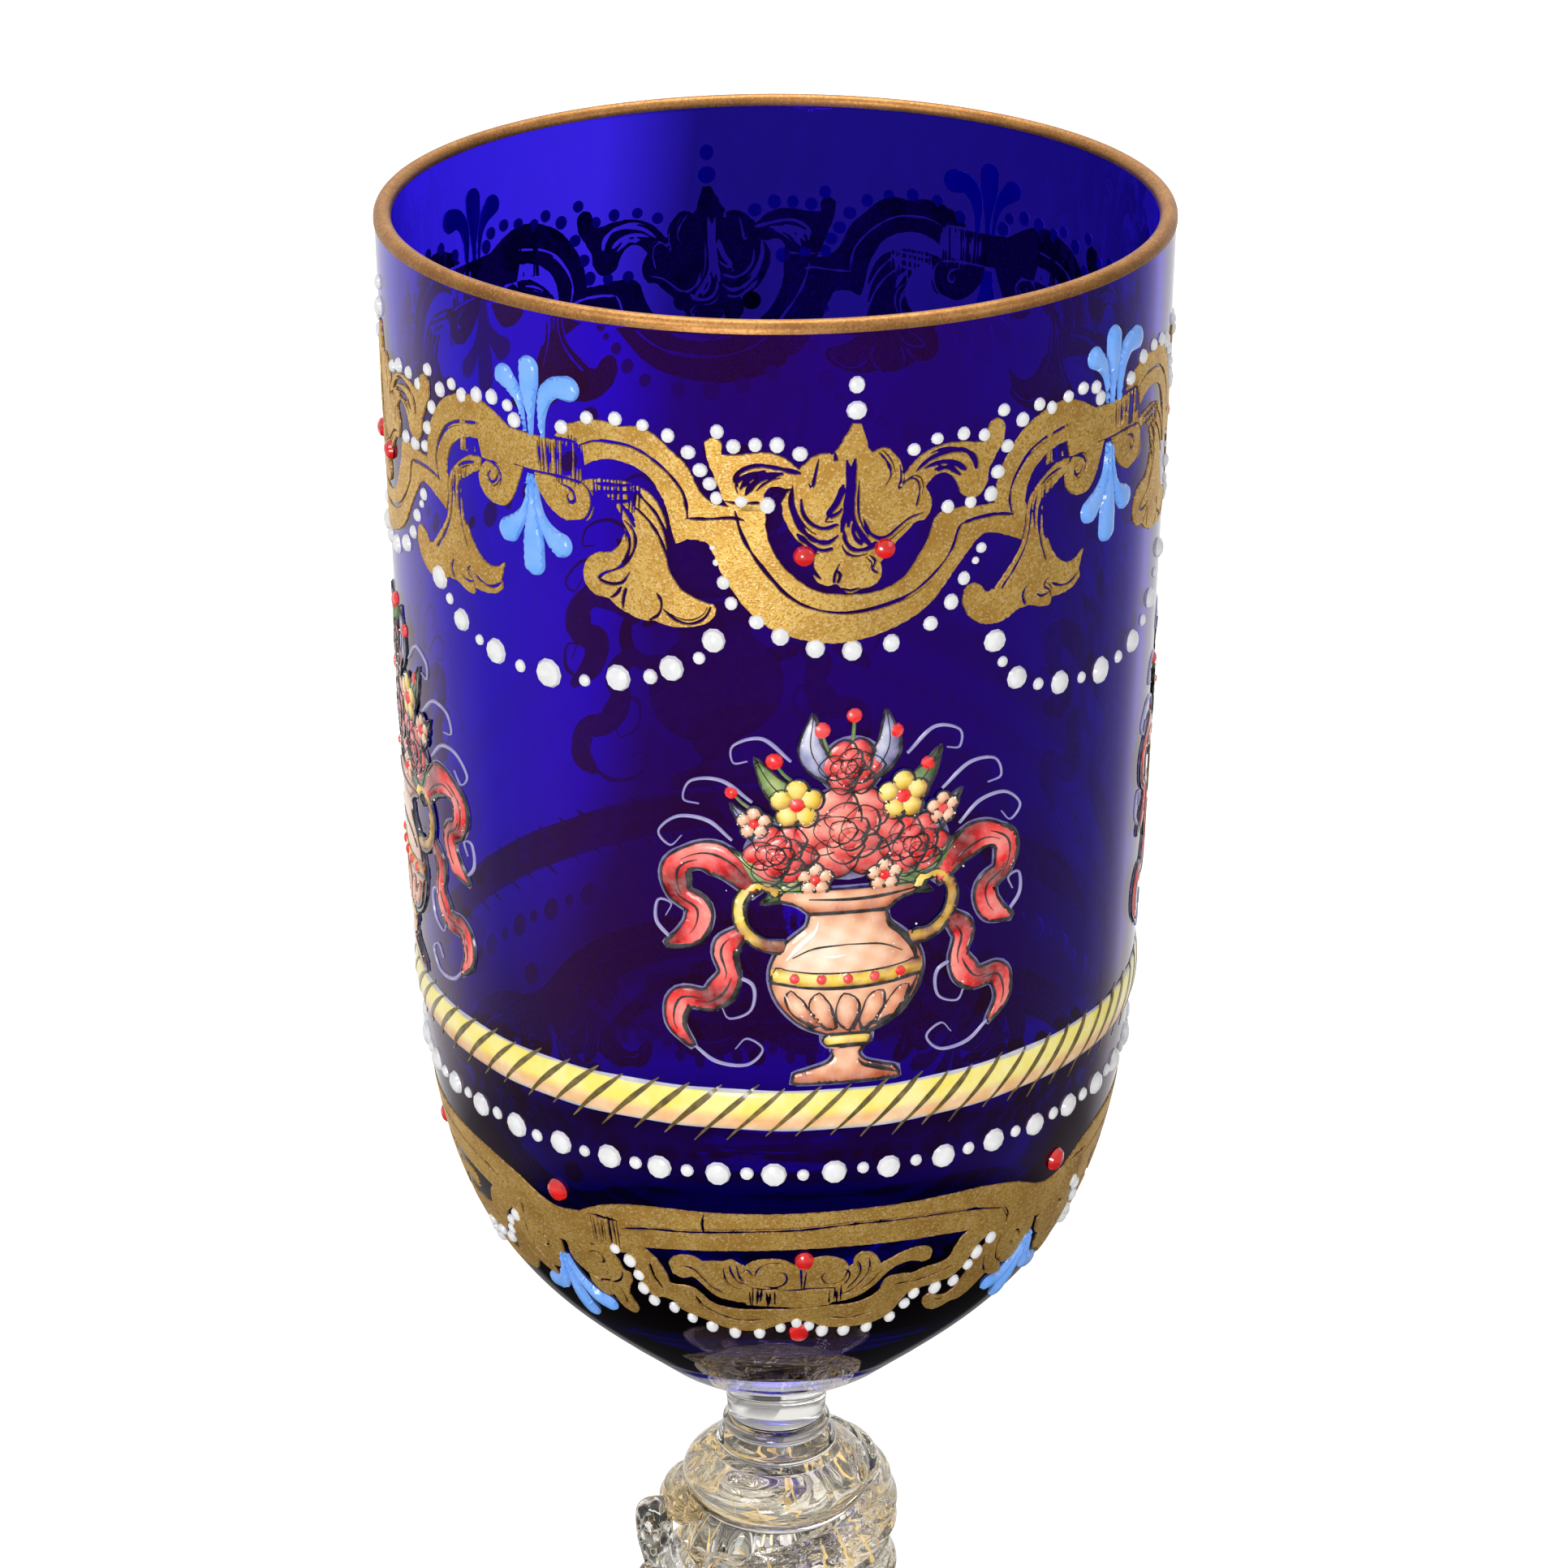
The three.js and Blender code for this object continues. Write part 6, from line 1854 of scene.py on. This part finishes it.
class GOBLET_OT_gold_flakes(bpy.types.Operator):
    """Scatter the gold leaf that the stem's glass holds"""

    bl_idname = "goblet.gold_flakes"
    bl_label = "Gold flakes"

    def execute(self, context):
        number = settings().flakes

        # Piece, seed, flakes for each one of the setting, knop, the shares of its radius between which they
        # lie, whether they stand upright, the longest and the widest in millimetres, and the material
        for name, seed, share, knop, inner, outer, upright, longest, widest, *kind in (
            ("shoulder_gold", 21, 2, SHOULDER, 0.6, 0.92, False, 3.2, 0.08),
            ("ribbed_knop_gold", 22, 1 / 3, RIBBED_INSIDE, 0.9, 0.96, True, 9.0, 0.8, "gold_leaf"),
            ("core_gold", 23, 1, CORE, 0.75, 0.97, True, 2.2, 0.4),
            ("baluster_gold", 24, 1, BALUSTER, 0.86, 0.97, True, 1.6, 0.35),
        ):
            spot = in_knop(knop, inner, outer, upright)
            flakes(name, seed, int(number * share), spot, longest * MM, widest * MM, *kind)
        low, high = bottom_of("pincered_crest") + 1.5 * MM, top_of("pincered_crest") - 1.5 * MM

        def in_crest(generator):
            place = Vector((-generator.uniform(12.2, 14.4), generator.uniform(-0.8, 0.8), 0)) * MM
            place.z = generator.uniform(low, high)
            away = Vector((generator.uniform(-1, 1), generator.uniform(-1, 1), 0.2)).normalized()
            return place, Vector((0, generator.uniform(-0.5, 0.5), 1)), away

        flakes("crest_gold", 27, number * 2, in_crest, 1.0 * MM, 0.14 * MM)
        for seed, (hand, start) in enumerate(CANE_STARTS.items(), 25):

            def in_cane(generator, start=start):
                turns = generator.uniform(0.03, CANE_TURNS - 0.03)
                centre, along, outward, across = cane_frame(turns, start)
                angle = generator.uniform(0, math.tau)
                c, s = math.cos(angle), math.sin(angle)
                away, turned_round = outward * c + across * s, across * c - outward * s
                radius = (CANE_RADIUS - CANE_FLUTE) * cane_taper(turns) * generator.uniform(0.5, 0.9)
                return centre + away * radius, along + turned_round * 0.5, away

            flakes(f"cane_gold_{hand}", seed, number * 3, in_cane, 1.2 * MM, 0.09 * MM)
        return {"FINISHED"}


class GOBLET_OT_foot(bpy.types.Operator):
    """Blow the foot: a low spreading dome with a rounded edge, hollow underneath"""

    bl_idname = "goblet.foot"
    bl_label = "Foot"

    def execute(self, context):
        radius, top_radius, height = FOOT_RADIUS / MM, FOOT_TOP_RADIUS / MM, top_of("foot") / MM
        edge, hollow_radius = FOOT_EDGE, radius - HOLLOW_INSET
        hollow = bezier([(0, HOLLOW_HEIGHT), (hollow_radius * 0.6, HOLLOW_HEIGHT), (hollow_radius, 0)],
                        steps=28)
        rolled = [(radius - edge / 2 + (edge / 2 + 0.15) * math.cos(t), edge / 2 + edge / 2 * math.sin(t))
                  for t in (math.pi * (i / 10 - 0.5) for i in range(11))]
        top = bezier([(radius - edge / 2, edge), (radius * 0.62, edge * 1.8),
                      (top_radius * 2.2, height * 0.45), (top_radius, height)], steps=44)
        end = height + SEAM_OVERLAP / MM
        profile = [*hollow, *rolled, *top[1:], (top_radius, end), (0, end)]
        clear_turning("blown_foot", "foot", [(r * MM, z * MM) for r, z in profile], segments=192)
        return {"FINISHED"}


# The stage

# The room that glass and gold show, as stops of degrees and brightness. Elevations go from straight down to
# straight up, and bearings go round from the back, -180, past the left, the view ahead, 0, and the right.
GROUND = (0.075, 0.056, 0.03, 1)
NEAR_FLOOR = [(-90, GROUND), (-64, GROUND), (-52, 0.03), (-35, 0.028), (-33.4, 0.4), (-31.2, 0.4),
              (-30.4, 0.04)]
BRIGHT_SIDE = [*NEAR_FLOOR, (-28, 0.3), (-24, 0.62), (-20, 0.8), (-16, 1.0), (0, 1.0)]
DARK_SIDE = [*NEAR_FLOOR, (-27, 0.07), (-24, 0.12), (-20, 0.2), (-16, 0.26), (-8, 0.4), (12, 0.9)]
STRIPED_SIDES = [(-90, GROUND), (-66, GROUND), (-60, 1.0), (-47, 1.0), (-44, 0.02), (-37, 0.02), (-34, 1.0),
                 (-17, 1.0), (-13, 0.02), (4, 0.02), (8, 1.0), (26, 1.0), (30, 0.1), (38, 0.1), (42, 1.0)]
SIDES_BEGIN = [(-180, 1.0), (-62, 1.0), (-46, 0.0), (46, 0.0), (62, 1.0), (180, 1.0)]
DARK_SCREEN = [(-180, 1.0), (0.8, 1.0), (1.0, 0.0), (24, 0.0), (32, 1.0)]
SCREEN_SLANT = -0.17
MIRRORED_ROOM = [(-180, 0.48), (-150, 0.48), (-110, 0.6), (-85, 0.42), (-66, 0.6), (-50, 0.95), (36, 1.0),
                 (45, 0.6), (52, 0.4), (66, 0.25), (102, 0.3), (140, 0.42), (180, 0.48)]
MIRRORED_ABOVE = [(-90, 0.02), (-43, 0.02), (-39, 0.2), (-30, 0.2), (30, 0.9), (90, 0.9)]
ABOVE_BEGINS = [(-34, 1.0), (-28, 0.0), (20, 0.0), (50, 1.0)]
EVEN_LIGHT = (0.55, 0.55, 0.56, 1)

# Name, place, width across and power of each lamp
LAMPS = [("key_lamp", (-0.55, -0.75, 0.95), 0.5, 3.9), ("fill_lamp", (0.9, -0.5, 0.6), 0.6, 1.4),
         ("top_lamp", (0.0, 0.35, 1.1), 0.6, 5.0), ("front_lamp", (-0.22, -1.1, 0.14), 0.35, 4.8)]
LAMP_AIM = Vector((0, 0, 0.14))
FLOOR_RADIUS = 3.0
FOOT_CLEARANCE = 30 * MM
GLOW_UNDER_FOOT = 0.25
LENS, SENSOR = 108.07, 36
CAMERA_PLACE = Vector((0.85, -453.86, 370.5)) * MM
CAMERA_PITCH = 23.577


def put_in_scene(context, name, data, place, turn):
    """Adds a lamp or a camera to the scene, turned as given."""
    holder = bpy.data.objects.new(name, data)
    holder.location = place
    holder.rotation_euler = turn
    context.scene.collection.objects.link(holder)
    return holder


class GOBLET_OT_stage(bpy.types.Operator):
    """Set the pale floor, the soft studio light and the camera"""

    bl_idname = "goblet.stage"
    bl_label = "Stage"

    def execute(self, context):
        self.lay_the_floor(context)
        self.light_the_room(context.scene)
        for name, spot, size, power in LAMPS:
            lamp = bpy.data.lights.new(name, "AREA")
            lamp.shape, lamp.size, lamp.energy = "DISK", size, power
            turn = (LAMP_AIM - Vector(spot)).to_track_quat("-Z", "Y").to_euler()
            put_in_scene(context, name, lamp, spot, turn).visible_camera = False
        camera = bpy.data.cameras.new("camera")
        camera.lens, camera.sensor_width = LENS, SENSOR
        camera.clip_start, camera.clip_end = 0.01, 50
        turn = (math.radians(90 - CAMERA_PITCH), 0, 0)
        context.scene.camera = put_in_scene(context, "camera", camera, CAMERA_PLACE, turn)
        context.scene.view_settings.view_transform = "Standard"
        return {"FINISHED"}

    def lay_the_floor(self, context):
        """A pale floor that brightens away from the goblet. Glass shows it only straight through the foot."""
        bpy.ops.object.select_all(action="DESELECT")
        bpy.ops.mesh.primitive_circle_add(vertices=128, radius=FLOOR_RADIUS, fill_type="NGON")
        floor = context.object
        floor.name = "floor"
        floor.visible_glossy = False
        material, tree, shader = new_material("pale_floor")
        place = own_place(tree)
        away = node(tree, "VectorMath", {"operation": "LENGTH"}, i0=place).outputs["Value"]
        path = node(tree, "LightPath").outputs
        through = path["Is Transmission Ray"]
        close = maths(tree, "LESS_THAN", path["Ray Length"], FOOT_CLEARANCE)
        direct = maths(tree, "LESS_THAN", path["Glossy Depth"], 0.5)
        under_foot = maths(tree, "MULTIPLY", through, maths(tree, "MULTIPLY", close, direct))
        seen = maths(tree, "MULTIPLY", spread(tree, away, 0.30, 0.9, 0.1, 0.9), path["Is Camera Ray"])
        glow = maths(tree, "MULTIPLY_ADD", under_foot, GLOW_UNDER_FOOT, seen)
        pale = ramp(tree, noise(tree, place, scale=40.0), (0.3, 0.80), (0.7, 0.82))
        plug(tree, shader, Base_Color=pale, Roughness=0.9, Specular_IOR_Level=0.1,
             Emission_Color=(1, 1, 1, 1), Emission_Strength=glow)
        hidden = maths(tree, "SUBTRACT", through, under_foot)
        clear = node(tree, "BsdfTransparent").outputs[0]
        both = node(tree, "MixShader", i0=hidden, i1=shader.outputs[0], i2=clear).outputs[0]
        plug(tree, tree.nodes["Material Output"], Surface=both)
        floor.data.materials.append(material)

    def light_the_room(self, scene):
        """A white room for the eye, an even soft light on the object, and in glass and gold the bright
        panels and dark gaps of a studio."""
        scene.world = world = bpy.data.worlds.new("room")
        world.use_nodes = True
        tree = world.node_tree
        parts = node(tree, "SeparateXYZ", Vector=node(tree, "TexCoord").outputs["Generated"]).outputs
        bearing = maths(tree, "ARCTAN2", parts[0], parts[1])
        height = maths(tree, "ARCSINE", parts[2])

        def stops(angle, half, given):
            share = spread(tree, angle, 0.0, 1.0, -math.radians(half), math.radians(half))
            return ramp(tree, share, *[((degrees + half) / (2 * half), value) for degrees, value in given])

        def bearings(given):
            return stops(bearing, 180, given)

        def levels(given):
            return stops(height, 90, given)

        slanted = maths(tree, "MULTIPLY_ADD", height, SCREEN_SLANT, bearing)
        ahead = mix_colour(tree, stops(slanted, 180, DARK_SCREEN), levels(DARK_SIDE), levels(BRIGHT_SIDE))
        seen_through = mix_colour(tree, bearings(SIDES_BEGIN), ahead, levels(STRIPED_SIDES))
        mirror = mix_colour(tree, levels(ABOVE_BEGINS), bearings(MIRRORED_ROOM), levels(MIRRORED_ABOVE))
        path = node(tree, "LightPath").outputs
        light = mix_colour(tree, path["Is Glossy Ray"], EVEN_LIGHT, mirror)
        light = mix_colour(tree, path["Is Transmission Ray"], light, seen_through)
        light = mix_colour(tree, path["Is Camera Ray"], light, (1, 1, 1, 1))
        plug(tree, tree.nodes["Background"], Color=light)
        world.cycles.sampling_method = "NONE"


OPERATORS = [
    GOBLET_OT_bowl, GOBLET_OT_rim_gilding, GOBLET_OT_upper_gilding, GOBLET_OT_lower_gilding, GOBLET_OT_plumes,
    GOBLET_OT_pearls_and_jewels, GOBLET_OT_rope_band, GOBLET_OT_flower_urns, GOBLET_OT_turned_stem,
    GOBLET_OT_knops, GOBLET_OT_canes, GOBLET_OT_crest, GOBLET_OT_gold_flakes, GOBLET_OT_foot, GOBLET_OT_stage,
]


class GOBLET_PT_sidebar(bpy.types.Panel):
    """Sizes, colours and the steps that make the goblet"""

    bl_idname = "GOBLET_PT_sidebar"
    bl_label = "Enamelled goblet"
    bl_space_type = "VIEW_3D"
    bl_region_type = "UI"
    bl_category = "Goblet"

    def draw(self, context):
        scene = context.scene
        for title, group in (("Sizes", scene.goblet_sizes), ("Colours", scene.goblet_colours)):
            box = self.layout.box()
            box.label(text=title)
            for name in group.__annotations__:
                box.prop(group, name)
        for operator in OPERATORS:
            self.layout.operator(operator.bl_idname)


CLASSES = [GobletSizes, GobletColours, *OPERATORS, GOBLET_PT_sidebar]


def register():
    for made in CLASSES:
        bpy.utils.register_class(made)
    bpy.types.Scene.goblet_sizes = bpy.props.PointerProperty(type=GobletSizes)
    bpy.types.Scene.goblet_colours = bpy.props.PointerProperty(type=GobletColours)


def unregister():
    del bpy.types.Scene.goblet_colours
    del bpy.types.Scene.goblet_sizes
    for made in reversed(CLASSES):
        bpy.utils.unregister_class(made)


def main():
    register()
    for step in (
        bpy.ops.goblet.bowl, bpy.ops.goblet.rim_gilding, bpy.ops.goblet.upper_gilding,
        bpy.ops.goblet.lower_gilding, bpy.ops.goblet.plumes, bpy.ops.goblet.pearls_and_jewels,
        bpy.ops.goblet.rope_band, bpy.ops.goblet.flower_urns, bpy.ops.goblet.turned_stem,
        bpy.ops.goblet.knops, bpy.ops.goblet.canes, bpy.ops.goblet.crest, bpy.ops.goblet.gold_flakes,
        bpy.ops.goblet.foot, bpy.ops.goblet.stage,
    ):
        step()


if __name__ == "__main__":
    main()
